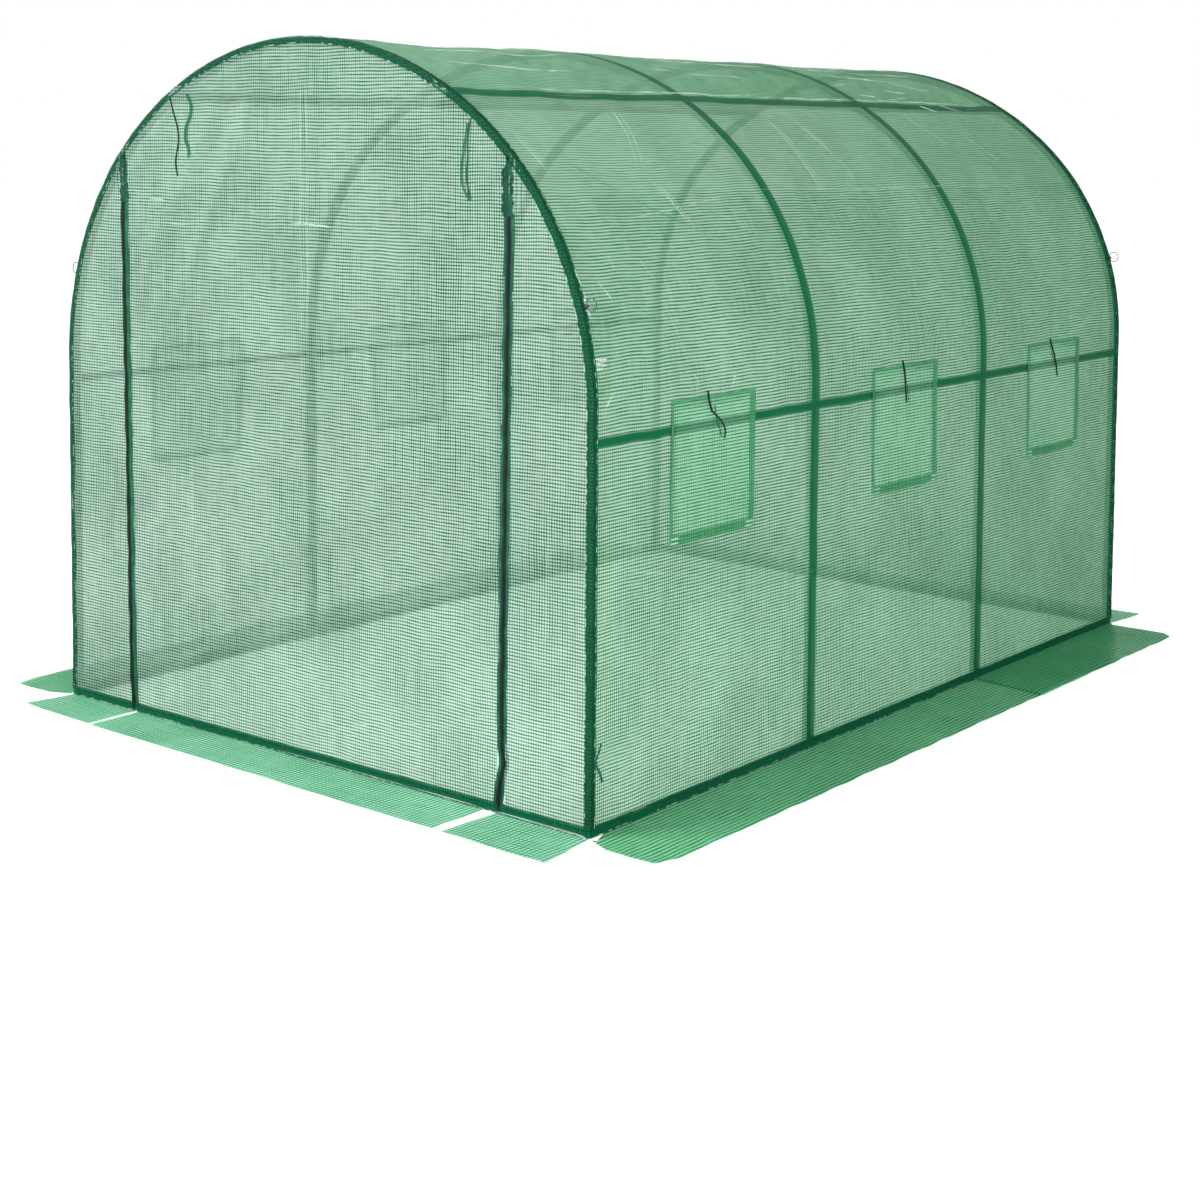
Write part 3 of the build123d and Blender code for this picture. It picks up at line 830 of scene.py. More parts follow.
def end_points(x, z, sign, relief):
    """Points of an end wall, sign -1 at the door end and 1 at the rear."""
    return np.stack(np.broadcast_arrays(x, sign * (end_y + np.clip(relief, -0.004, 0.009)), z), -1)


def end_piece(name, x, z, sign, replaced):
    """A piece of an end wall from grids of x and z. The rear wall's relief is mirrored, and
    its columns are turned round so that its faces look outwards too."""
    relief = end_relief(x * (1 if sign < 0 else -1), z)
    points = end_points(x, z, sign, relief if sign < 0 else 0.6 * relief)
    uv = np.stack(np.broadcast_arrays(x, z), -1)
    if sign > 0:
        points, uv, relief = points[:, ::-1], uv[:, ::-1], relief[:, ::-1]
    to_hoop = hoop_distance(uv[..., 0], uv[..., 1])
    return cloth_piece(name, points, uv, end_film, replaced, to_hoop=to_hoop, relief=relief)


print("the zips lean outwards by", round(1000 * (zip_x(zip_top) - zip_x(0.0))), "mm")

# %% [markdown]
# The door is a plain panel between the zips, with a small gap at each side for the zip's
# coil. Its columns follow the zips, which lean outwards, so it is a little wider at the top.

# %% The door
door_rows = stops([floor_z, zip_top], cloth_cell)[:, None]
door_columns = np.linspace(-1, 1, round(1.43 / cloth_cell))[None]
door_x = door_columns * (zip_x(door_rows) - seam_half)
end_piece("film_door", door_x, door_rows + 0 * door_columns, -1, ["door_panel"])

# %% [markdown]
# The strips beside the door and the arch above it need the place where the zip's line, drawn
# on upwards, would meet the arch. That is where the arch's distance from the line falls to
# nothing, and np.interp finds it from the arch's own points.

# %% Strips, door arch and rear wall
over_arch = stops([straight, crown, far - straight], cloth_cell)
arch_x, arch_z = arch(over_arch, cloth_height)
right_x, right_z = arch_x[: len(over_arch) // 2], arch_z[: len(over_arch) // 2]
beyond_zip = right_x - zip_x(right_z) - seam_half
tip_z = np.interp(0.0, beyond_zip[::-1], right_z[::-1])
strip_rows = stops([floor_z, straight, tip_z - 0.002], cloth_cell)[:, None]
outline = np.where(strip_rows < straight, half_span + cloth_height, np.interp(strip_rows, right_z, right_x))
share = np.linspace(0, 1, 20)[None]
strip_x = (zip_x(strip_rows) + seam_half) * (1 - share) + outline * share
strip_z = strip_rows + 0 * share
end_piece("film_strip_right", strip_x, strip_z, -1, ["door_end_strip_right"])
end_piece("film_strip_left", -strip_x[:, ::-1], strip_z, -1, ["door_end_strip_left"])
above_door = np.abs(arch_x) < zip_x(tip_z) + seam_half
top_x, top_z = arch_x[above_door][::-1][None], arch_z[above_door][::-1][None]
up = np.linspace(0, 1, 36)[:, None]
narrowed = 1 - 0.006 * (1 - up)  # at the foot, to stay between the zips
end_piece("film_door_arch", top_x * narrowed, zip_top * (1 - up) + top_z * up, -1, ["door_end_arch"])
up = np.linspace(0, 1, 150)[:, None]
rear_x, rear_z = arch_x[::-1][None], arch_z[::-1][None]
end_piece("film_rear", rear_x + 0 * up, floor_z * (1 - up) + rear_z * up, 1, ["rear_end_wall"])

# %% [markdown]
# The door is held by a zip on each side. A zip is two dark tapes sewn to the film, with a
# black toothed coil between them. The tape is a narrow cloth with a slight wave, and the
# coil is a thin tube whose radius swells at each tooth, which is what makes it glint.

# %% Zips


def fabric(name, dark, light, weave=1100.0, roughness=0.8, bump=0.4):
    """A tight cloth: fine crossed waves over a slow change of tone."""
    m = new_material(name)
    at = put(m, "TexCoord").outputs["Object"]
    links = {"Vector": at, "Scale": weave / 20, "Distortion": 0.4}
    one = put(m, "TexWave", links, bands_direction="Z").outputs["Fac"]
    two = put(m, "TexWave", links, bands_direction="X").outputs["Fac"]
    weft = maths(m, "MULTIPLY", one, two)
    worn = spread(m, noise(m, at, 30.0, 5.0, 0.65), 0.35, 0.7, 0.0, 0.8)
    tone = blend(m, maths(m, "MAXIMUM", maths(m, "MULTIPLY", weft, 0.5), worn), dark, light)
    relief = put(m, "Bump", {"Height": weft, "Strength": bump, "Distance": 0.0005}).outputs[0]
    links = {"Base Color": tone, "Roughness": roughness, "Normal": relief, "Specular IOR Level": 0.2}
    return finish_with(m, put(m, "BsdfPrincipled", links).outputs[0])


zip_cloth = fabric("zip_cloth", (0.002, 0.055, 0.027, 1), (0.012, 0.13, 0.068, 1))
coil_black = fabric("coil_black", (0.001, 0.008, 0.005, 1), (0.004, 0.022, 0.014, 1), 4000.0, 0.6)
tape_half = 0.0165  # of a zip's width


def zip_bend(z, sign):
    """The zips' own line: a slight wave, turned inwards at the foot, with a kink on the right."""
    foot = -0.0083 * np.exp(-((z / 0.075) ** 2))
    kink = 0.011 * np.exp(-(((z - 0.135) / 0.034) ** 2)) * (sign > 0)
    return zip_x(z) + foot + kink + 0.0008 * np.sin(z * 37)


tape_columns = np.linspace(-1, 1, 9)[None]
tooth_pitch = 0.0048
for side, sign in (("left", -1), ("right", 1)):
    z = stops([0.008, 0.05, zip_top], 0.006)[:, None]
    x = sign * (zip_bend(z, sign) + tape_half * tape_columns)
    wave = 0.0009 * np.sin(z * 61 + tape_columns) + 0.0006 * np.sin(z * 23)
    y = -(end_y + 0.0012 + wave * np.abs(tape_columns))
    points = np.stack(np.broadcast_arrays(x, y, z), -1)
    uv = np.stack(np.broadcast_arrays(tape_half * tape_columns, z), -1)
    if sign < 0:
        points, uv = points[:, ::-1], uv[:, ::-1]
    cloth_piece("zip_tape_" + side, points, uv, zip_cloth, ["zip_" + side])
    shift = 0.0070 if sign < 0 else 0.0  # the left coil lies off its tape's middle
    strip = points - [shift, 0.0008, 0.0] - (points - points[:, 4:5]) * [0.55, 0.0, 0.0]
    cloth_piece("zip_strip_" + side, strip, uv, coil_black)
    z = stops([0.006, zip_top], 0.0012)
    coil = np.stack([sign * zip_bend(z, sign) - shift, np.full(len(z), -(end_y + 0.0026)), z], -1)
    teeth = 0.0016 + 0.0005 * np.sin(z * 2 * np.pi / tooth_pitch)
    tubes("zip_coil_" + side, [(coil, teeth)], coil_black, sides=8)

# %% [markdown]
# Each window is a net in the wall with a film flap hanging over it, sewn on along its top. A
# flap has a doubled hem, so its border is darker than its middle, and its two lower corners
# carry a small pale tab. All six flaps are alike and differ a little in how they hang.

# %% Materials and helpers for the windows
flap_half, flap_low, flap_high, hem = 0.185, 0.668, 1.034, 0.025
net_half, net_low, net_high = 0.172, 0.680, 1.022
flap_x, net_x = 1.0048, 1.0008
flap_film = film("flap_film", (0.66, 1.00, 0.78, 1), (0.05, 0.34, 0.17, 1), 0.36, 0.12, "flap")
hem_film = film("hem_film", (0.36, 0.84, 0.54, 1), (0.12, 0.46, 0.28, 1), 0.34, 0.16, layers=2)
tab_cloth = fabric("tab_cloth", (0.20, 0.48, 0.33, 1), (0.52, 0.74, 0.62, 1), 700.0)


def net_material():
    """A white insect net: fine round threads both ways, and clear holes between them."""
    m = new_material("white_net")
    uv = put(m, "SeparateXYZ", {0: put(m, "UVMap", uv_map="cloth").outputs[0]})
    pitch, width, soft = 0.0016, 0.0006, 0.0001
    one, two = (thread(m, uv.outputs[i], pitch, width, soft) for i in (0, 1))
    threads = maths(m, "MAXIMUM", one, two)
    yarn = put(m, "BsdfPrincipled", {"Base Color": (0.62, 0.78, 0.68, 1), "Roughness": 0.6}).outputs[0]
    clear = put(m, "BsdfTransparent").outputs[0]
    return finish_with(m, put(m, "MixShader", {0: threads, 1: clear, 2: yarn}).outputs[0])


net_cloth = net_material()
drifts = (-0.006, 0.012, 0.004)  # how far each flap's lower edge hangs sideways


def wall_patch(y, z, x, sign):
    """Points on a side wall. Columns run forwards on the right wall and backwards on the left,
    so that the faces look outwards on both."""
    points = np.stack(np.broadcast_arrays(sign * x, y, z), -1)
    uv = np.stack(np.broadcast_arrays(y, z), -1)
    return (points, uv) if sign > 0 else (points[:, ::-1], uv[:, ::-1])


def flap_grid(window, y, z):
    """A flap hangs from its top edge. Its lower edge drifts sideways, and it billows a little."""
    fall = (flap_high - z) / (flap_high - flap_low)
    billow = ripples(y, z, 40 + window, 0.22, 0.0006)
    billow = billow + 0.0008 * fall * np.sin(np.pi * (y / flap_half + 1) / 2)
    return y + drifts[window - 1] * fall**2, flap_x + np.clip(billow, -0.0016, 0.0018)


def gather_up(name, patches, material, replaced=()):
    """One piece from several grids of points, each with its UV pairs."""
    made = [(p.reshape(-1, 3), cells(*p.shape[:2]), uv.reshape(-1, 2)) for p, uv in patches]
    return join_up(name, made, material, replaced)

# %% [markdown]
# The three windows of a side are made in one loop and gathered into one piece each of flaps,
# hems, tabs and nets. The hem is a second layer just outside the flap's own, so its borders
# are grids of their own. Each tab is two short bars, as printed or stitched marks would be.

# %% The windows
for side, sign in (("left", -1), ("right", 1)):
    flaps, borders, tabs, nets = [], [], [], []
    for window, centre in enumerate(window_y, start=1):
        z = stops([flap_low, flap_low + hem, flap_high], 0.009)[:, None]
        y = stops([-flap_half, -flap_half + hem, flap_half - hem, flap_half], 0.009)[None]
        moved, x = flap_grid(window, y, z)
        flaps.append(wall_patch(centre + moved, z, x, sign))
        for low, high, left, right in (
            (flap_low, flap_low + hem, -flap_half, flap_half),
            (flap_low + hem, flap_high, flap_half - hem, flap_half),
            (flap_low + hem, flap_high, -flap_half, -flap_half + 0.4 * hem),
            (flap_high - 0.4 * hem, flap_high, -flap_half + 0.4 * hem, flap_half - hem),
        ):
            z, y = stops([low, high], 0.007)[:, None], stops([left, right], 0.007)[None]
            moved, x = flap_grid(window, y, z)
            borders.append(wall_patch(centre + moved, z, x + 0.0009, sign))
        for low_y in (-flap_half + 0.004, flap_half - 0.038):
            for foot in (0.004, 0.015):
                z = flap_low + foot + np.linspace(0, 0.0042, 4)[:, None]
                y = low_y + np.linspace(0, 0.032, 10)[None] + 0.10 * (z - flap_low)
                moved, x = flap_grid(window, y, z)
                tabs.append(wall_patch(centre + moved, z, x + 0.0016, sign))
        z, y = stops([net_low, net_high], 0.03)[:, None], stops([-net_half, net_half], 0.03)[None]
        nets.append(wall_patch(centre + y, z, net_x + 0 * y * z, sign))
    gather_up("flaps_" + side, flaps, flap_film, ["window_flaps_" + side])
    gather_up("flap_hems_" + side, borders, hem_film)
    gather_up("flap_tabs_" + side, tabs, tab_cloth)
    gather_up("nets_" + side, nets, net_cloth, ["window_nets_" + side])

# %% [markdown]
# The cover ends in skirts that lie on the ground, so that earth or stones can hold them. A
# skirt is a strip of film with a wavy cut edge. Each is a grid between two lines, the one at
# the wall's foot and the one at its outer edge, and ripples lift it a few millimetres.

# %% Film and helpers for the skirts
skirt_film = film(
    "skirt_film", (0.20, 0.68, 0.37, 1), (0.05, 0.30, 0.15, 1), 0.26, 0.08, coarse=1.7, columns_show=0.45
)
skirt_pale = film("skirt_pale", (0.56, 0.96, 0.74, 1), (0.10, 0.42, 0.27, 1), 0.26, 0.08, coarse=1.6)
skirt_dark = film(
    "skirt_dark", (0.30, 0.82, 0.50, 1), (0.16, 0.52, 0.32, 1), 0.18, 0.06, layers=2, coarse=1.7,
    columns_show=0.45,
)


def lengths_along(corners):
    """The length from the first corner to each corner of a line."""
    return np.concatenate([[0.0], np.cumsum(np.linalg.norm(np.diff(corners, axis=0), axis=1))])


def walk(corners, share):
    """Points on the ground at shares of the length of a line of corners."""
    corners = np.asarray(corners, float)
    length = lengths_along(corners)
    at = share * length[-1]
    return np.stack([np.interp(at, length, corners[:, 0]), np.interp(at, length, corners[:, 1])], -1)


def skirt(name, inner, outer, material, seed, replaced=(), lift=0.003, base=0.0012):
    """A strip on the ground from an inner line to an outer line, each a list of corners. Both
    are walked at the same share of their length. The strip is base metres up, and ripples
    lift it by up to lift metres, more towards its outer edge."""
    size = np.linalg.norm(np.diff(np.asarray(outer, float), axis=0), axis=1).sum()
    share = np.linspace(0, 1, max(8, int(size / 0.012)))
    deep = np.linspace(0, 1, 22)[:, None]
    at_wall, at_edge = walk(inner, share)[None], walk(outer, share)[None]
    plan = at_wall * (1 - deep[..., None]) + at_edge * deep[..., None]
    x, y = plan[..., 0], plan[..., 1]
    x = x + deep**3 * ripples(x * 0 + y, x * 0, seed, 0.16, 0.0022)
    raised = lift * 0.5 * (1 + np.clip(ripples(x, y, seed + 1, 0.16, 0.7), -1, 1))
    points = np.stack([x, y, base + raised * (0.25 + deep * 0.75)], -1)
    uv = np.stack([y, x], -1)
    if np.cross(points[1, 0] - points[0, 0], points[0, 1] - points[0, 0])[2] < 0:
        return cloth_piece(name, points, uv, material, replaced)
    return cloth_piece(name, points[:, ::-1], uv[:, ::-1], material, replaced)

# %% [markdown]
# The side skirts run the tunnel's whole length, with a second, lapped piece over the rear
# bay. The end skirts are shorter, in three pieces at the door and one at the rear. All are
# given by corners on the ground: an inner line, and an outer one that is cut a little askew.

# %% Skirts
wall_foot = 1.0032  # just outside the long cover
side_inner = np.array([
    (wall_foot, -1.4527), (wall_foot + 0.02, -1.4527), (wall_foot, -1.40), (wall_foot, 1.400),
    (wall_foot, 1.44),
])
side_outer = np.array([
    (1.0817, -1.4927), (1.2287, -1.4927), (1.2487, -1.4147), (1.2487, 1.400), (1.2087, 1.440),
])
lap_inner = np.array([(1.006, 0.470), (1.006, 0.95), (1.006, 1.440)])
lap_outer = np.array([(1.258, 0.430), (1.246, 0.93), (1.185, 1.09), (1.080, 1.33), (1.010, 1.440)])
for side, sign in (("right", 1), ("left", -1)):
    out = np.array([sign, 1.0])
    skirt("ground_skirt_" + side, side_inner * out, side_outer * out, skirt_film, 60, ["side_skirt_" + side])
    skirt("skirt_lap_" + side, lap_inner * out, lap_outer * out, skirt_dark, 64, base=0.0055, lift=0.0025)
skirt_foot = 1.4548  # just outside the end walls
for label, x_in, x_out, y_out, seed, node in (
    ("door", (-0.70, 0.66), (-0.70, 0.66), (-1.628, -1.646), 70, "door_skirt"),
    ("door_right", (0.70, 1.002), (0.69, 1.030), (-1.648, -1.652), 72, "door_end_skirt_right"),
    ("door_left", (-1.002, -0.71), (-1.030, -0.71), (-1.613, -1.626), 74, "door_end_skirt_left"),
    ("rear", (-1.002, 1.002), (-1.030, 1.030), (1.652, 1.652), 76, "rear_skirt"),
):
    inner = [(x, math.copysign(skirt_foot, y_out[0])) for x in x_in]
    skirt("ground_skirt_" + label, inner, list(zip(x_out, y_out)), skirt_pale, seed, [node])

# %% [markdown]
# The end walls are sewn to the long cover along the arch, and the seam's spare cloth lies on
# the hoop as a dark double band with a row of stitches. The cover's foot has a hem round the
# base tubes. Each is a narrow ribbon carried along a line. Its UV map counts metres along and
# across, so that the stitches and the pale frayed threads come from the material.

# %% Binding material


def binding(name, dark, light, stitch_pitch, clear, frayed_side=-1.0):
    """Doubled film with stitches near its outer edge, and pale broken threads at one edge.
    The UV map's first length runs along the band and its second from -1 to 1 across it.
    clear is the share of what is behind that shows through."""
    m = new_material(name)
    uv = put(m, "UVMap", uv_map="cloth").outputs[0]
    split = put(m, "SeparateXYZ", {0: uv})
    along, across = split.outputs[0], split.outputs[1]
    at = put(m, "TexCoord").outputs["Object"]
    worn = noise(m, at, 120.0, 3.0, 0.6)
    rows = thread(m, along, row_pitch, 0.0044, 0.0010)
    tone = blend(m, maths(m, "MULTIPLY", rows, 0.7), light, dark)
    tone = blend(m, spread(m, worn, 0.35, 0.65, 0.0, 0.45), tone, dark)
    off_row = maths(m, "ABSOLUTE", maths(m, "SUBTRACT", across, 0.45))
    in_row = spread(m, off_row, 0.10, 0.22, 1.0, 0.0)
    stitch = maths(m, "MULTIPLY", thread(m, along, stitch_pitch, 0.0062, 0.0008), in_row)
    tone = blend(m, stitch, tone, (0.002, 0.03, 0.015, 1))
    edge = spread(m, maths(m, "MULTIPLY", across, frayed_side), 0.70, 0.92, 0.0, 1.0)
    broken = spread(m, noise(m, at, 75.0, 2.0), 0.50, 0.60, 0.0, 1.0)
    tone = blend(m, maths(m, "MULTIPLY", edge, broken), tone, (0.55, 0.80, 0.66, 1))
    links = {"Base Color": tone, "Roughness": 0.7, "Specular IOR Level": 0.15}
    skin = put(m, "BsdfPrincipled", links).outputs[0]
    lit = put(m, "BsdfTranslucent", {"Color": tone}).outputs[0]
    body = put(m, "MixShader", {0: 0.25, 1: skin, 2: lit}).outputs[0]
    see_through = put(m, "BsdfTransparent", {"Color": (0.7, 1.0, 0.85, 1)}).outputs[0]
    return finish_with(m, put(m, "MixShader", {0: 1 - clear, 1: see_through, 2: body}).outputs[0])


stitches_apart = 0.0135
seam_dark, seam_light = (0.000, 0.036, 0.016, 1), (0.002, 0.12, 0.055, 1)
seam_band = binding("seam_band", seam_dark, seam_light, stitches_apart, 0.20)
edge_band = binding("edge_band", seam_dark, seam_light, stitches_apart, 0.20, 1.0)
foot_band = binding("foot_band", (0.002, 0.080, 0.040, 1), (0.008, 0.20, 0.10, 1), stitches_apart, 0.35)

# %% [markdown]
# A ribbon is seven columns of points carried along a line. Ripples let its edges wander and
# lift it a little, because a straight edge would look printed. The same ribbon serves the
# seams, the hems and, later, the cords that are seen through the film.

# %% Ribbons


def band(name, middle, sideways, outward, half_width, material, seed, lift=0.0024, wave=0.0008):
    """A ribbon along the line middle. It reaches half_width to both sides, one width or one for
    each point, and lies lift metres outwards of what carries it. Its edges wander by wave."""
    middle, sideways, outward = (np.asarray(v, float) for v in (middle, sideways, outward))
    length = lengths_along(middle)[:, None]
    across = np.linspace(-1, 1, 7)
    edge = ripples(length[:, 0], length[:, 0] * 0, seed, 0.05, wave)[:, None] * np.abs(across)
    uneven = ripples(length + across, across + 0 * length, seed + 1, 0.06, 0.0004)
    up = lift + np.clip(uneven, -0.0004, 0.001)
    half = np.broadcast_to(half_width, len(length))[:, None]
    points = middle[:, None] + sideways[:, None] * (half * across + edge)[..., None]
    points = points + outward[:, None] * up[..., None]
    uv = np.stack(np.broadcast_arrays(length, across), -1)
    flat = cells(*points.shape[:2])
    corner = points.reshape(-1, 3)[flat[0]]
    if np.cross(corner[1] - corner[0], corner[3] - corner[0]) @ outward[0] < 0:
        points, uv = points[:, ::-1], uv[:, ::-1]
        flat = cells(*points.shape[:2])
    return make_piece(name, points.reshape(-1, 3), flat, uv.reshape(-1, 2), material)


def arch_frame(s):
    """Radial directions of the arch at s."""
    inner_x, inner_z = arch(s, 0.0)
    outer_x, outer_z = arch(s, 1.0)
    return np.stack([outer_x - inner_x, 0 * inner_x, outer_z - inner_z], -1)

# %% [markdown]
# Each end has two ribbons along the arch: one on the end wall's face, and one on the long
# cover's edge, just over the hoop. Both use the arch's own outward direction, so they turn
# with it. The hems lie along the ground on all four sides.

# %% Seams and hems
seam_start = 0.02  # above the ground
edge_inset = 0.0064  # of the edge's ribbon from the end wall
face_out = 0.0065  # of the face's ribbon from the hoop's centre line
s = stops([seam_start, straight, crown, far - straight, far - seam_start], 0.010)
radial = arch_frame(s)
for label, sign in (("door", -1), ("rear", 1)):
    face = np.broadcast_to([0.0, sign, 0.0], radial.shape)
    on_face = on_hoop(s, sign * end_y, face_out)
    width = 0.0094 - 0.0020 * np.clip((s - 0.9 * crown) / 0.4, 0, 1)
    band(f"seam_{label}_face", on_face, radial, face, width, seam_band, 81)
    over = on_hoop(s, sign * (end_y - edge_inset), cloth_height)
    band(f"seam_{label}_edge", over, -face, radial, 0.0090, edge_band, 83)


def foot_hem(label, x, y, z, outward, half_width, seed):
    """A hem along the ground. Either x or y is a row of values, and the other is one value."""
    foot = np.stack(np.broadcast_arrays(x, y, z), -1)
    up, outward = np.broadcast_to(up_z, foot.shape), np.broadcast_to(outward, foot.shape)
    band("hem_" + label, foot, up, outward, half_width, foot_band, seed)


along_y = stops([-end_y + 0.005, end_y - 0.005], 0.012)
along_x = stops([-half_span, half_span], 0.012)
for label, sign in (("right", 1.0), ("left", -1.0)):
    foot_hem(label, sign * (half_span + cloth_height), along_y, 0.016, (sign, 0.0, 0.0), 0.0135, 85)
for label, sign in (("door", -1.0), ("rear", 1.0)):
    foot_hem(label, along_x, sign * end_y, 0.0135, (0.0, sign, 0.0), 0.0110, 87)

# %% [markdown]
# Above each zip the cloth is pulled together and sewn up to the arch, in a narrow crumpled
# strip. Deep waves across a ribbon give the crumple, and the doubled film makes it dark.

# %% Gathers above the zips
gather_film = fabric("gather_film", (0.001, 0.026, 0.013, 1), (0.010, 0.11, 0.058, 1), 900.0)
gather_z = stops([zip_top - 0.006, tip_z + 0.004], 0.0035)[:, None]
pull = np.sin(gather_z * 2 * np.pi / 0.031) * 0.0022 + np.sin(gather_z * 2 * np.pi / 0.0127) * 0.0012
taper = np.clip((tip_z + 0.012 - gather_z) / 0.05, 0.3, 1.0)
gather_half = (0.0165 + 0.002 * np.sin(gather_z * 2 * np.pi / 0.083)) * taper
across = np.linspace(-1, 1, 13)[None]
deep = 0.0022 * np.sin(across * 8 + gather_z * 30) + 0.0005 * np.sin(gather_z * 210 + across * 4)
gather_y = -end_y - 0.0015 - np.clip(deep + 0.003, 0.0, 0.0056)
for label, sign in (("right", 1), ("left", -1)):
    gather_x = sign * (zip_x(gather_z) - 0.004 + pull) + gather_half * across
    points = np.stack(np.broadcast_arrays(gather_x, gather_y, gather_z), -1)
    uv = np.stack(np.broadcast_arrays(gather_z, across), -1)
    gather_up("gather_" + label, [(points, uv)], gather_film)

# %% [markdown]
# Folding has left pale lines in the film, where the thin coating is stretched white. Most are
# only 2 to 9 mm wide, finer than the cloth's grid, so each is its own ribbon just over the
# film. Its material breaks it into dots where the line crosses the threads.

# %% Fold materials


def fold_material(name, colour, least, most):
    """A line's colour over clear film: strongest in the ribbon's middle, broken into dots by
    the threads, and between least and most along its length."""
    m = new_material(name)
    uv = put(m, "SeparateXYZ", {0: put(m, "UVMap", uv_map="cloth").outputs[0]})
    at = put(m, "TexCoord").outputs["Object"]
    crossed = maths(m, "MULTIPLY", thread(m, uv.outputs[0], row_pitch, 0.004, 0.001), 0.65)
    dots = maths(m, "SUBTRACT", 1.0, crossed)
    soft = spread(m, maths(m, "ABSOLUTE", uv.outputs[1]), 0.2, 1.0, 1.0, 0.0)
    patchy = spread(m, noise(m, at, 12.0, 3.0), 0.36, 0.62, least, most)
    share = maths(m, "MULTIPLY", maths(m, "MULTIPLY", dots, soft), patchy)
    pale = put(m, "BsdfPrincipled", {"Base Color": colour, "Roughness": 0.45}).outputs[0]
    clear = put(m, "BsdfTransparent").outputs[0]
    return finish_with(m, put(m, "MixShader", {0: share, 1: clear, 2: pale}).outputs[0])


fold_mark = fold_material("fold_mark", (0.78, 1.00, 0.86, 1), 0.32, 0.85)
# Dark lines: painted shade in soft creases.
crease_shade_mark = fold_material("crease_shade_mark", (0.05, 0.36, 0.20, 1), 0.20, 0.42)
soft_mark = fold_material("soft_mark", (0.80, 1.00, 0.88, 1), 0.14, 0.55)
sheen_mark = fold_material("sheen_mark", (0.86, 0.97, 0.90, 1), 0.12, 0.70)
white_mark = fold_material("white_mark", (0.93, 1.00, 0.96, 1), 0.55, 1.00)

# %% [markdown]
# The lines are listed on the cloth's two lengths: a start, an end, a half width and a bow.
# They are then carried onto the film by the same function that shaped it, so they follow its
# ripples. That is why the shape's functions are kept apart from the pieces.

# %% Lines on the door end


def fold_lines(name, at_points, lines, material):
    """Ribbons over the film. at_points turns two cloth lengths into points just outside it, and
    each line has a start, an end, a half width and a bow."""
    across = np.linspace(-1, 1, 3)
    patches = []
    for a, b, half, bow in lines:
        a, b = np.array(a, float), np.array(b, float)
        size = np.linalg.norm(b - a)
        way = (b - a) / size
        square = np.array([-way[1], way[0]])
        share = np.linspace(0, 1, max(6, int(size / 0.010)))
        middle = a + share[:, None] * (b - a) + (bow * np.sin(np.pi * share))[:, None] * square
        taper = half * np.clip(np.minimum(share, 1 - share) * 6, 0.2, 1)
        cloth = middle[:, None] + (taper[:, None] * across)[..., None] * square
        uv = np.stack(np.broadcast_arrays(share[:, None] * size, across), -1)
        patches.append((at_points(cloth[..., 0], cloth[..., 1]), uv))
    return gather_up(name, patches, material)


def over_door_end(x, z):
    """Just outside the door end."""
    return end_points(x, z, -1, end_relief(x, z)) - [0.0, 0.0007, 0.0]


fold_lines("folds_door_end", over_door_end, [
    ((0.006, 1.04), (0.003, 1.90), 0.0022, 0.003), ((0.024, 1.10), (0.022, 1.88), 0.0016, -0.002),
    ((-0.040, 1.452), (0.125, 1.446), 0.0030, 0.004), ((-0.62, 1.505), (-0.55, 1.502), 0.0025, 0.002),
    ((-0.20, 1.478), (-0.13, 1.482), 0.0022, 0.002), ((-0.55, 1.44), (-0.45, 1.437), 0.0022, -0.002),
    ((-0.45, 0.52), (-0.43, 1.10), 0.0013, 0.004), ((0.33, 0.40), (0.34, 1.12), 0.0013, -0.004),
    ((0.86, 0.32), (0.87, 0.78), 0.0013, 0.003), ((0.15, 0.12), (0.60, 0.20), 0.0014, 0.006),
], soft_mark)

# %% [markdown]
# On the long cover the coating is rubbed white or torn at the front hoop, and white dashes on
# the roof over the middle and rear bays are painted highlights. The roof also shines in long
# soft streaks. All are wider lines of the same kind. The streaks are light caught by the folds.
# A true reflection would move with the viewer and would hardly show in light as even as this,
# so they are painted and stay put.

# %% Worn places, painted highlights and streaks


def over_cover(s, y):
    """Just outside the long cover: moved out along the arch's own direction."""
    return long_cover(s, y) + 0.0008 * arch_frame(s)
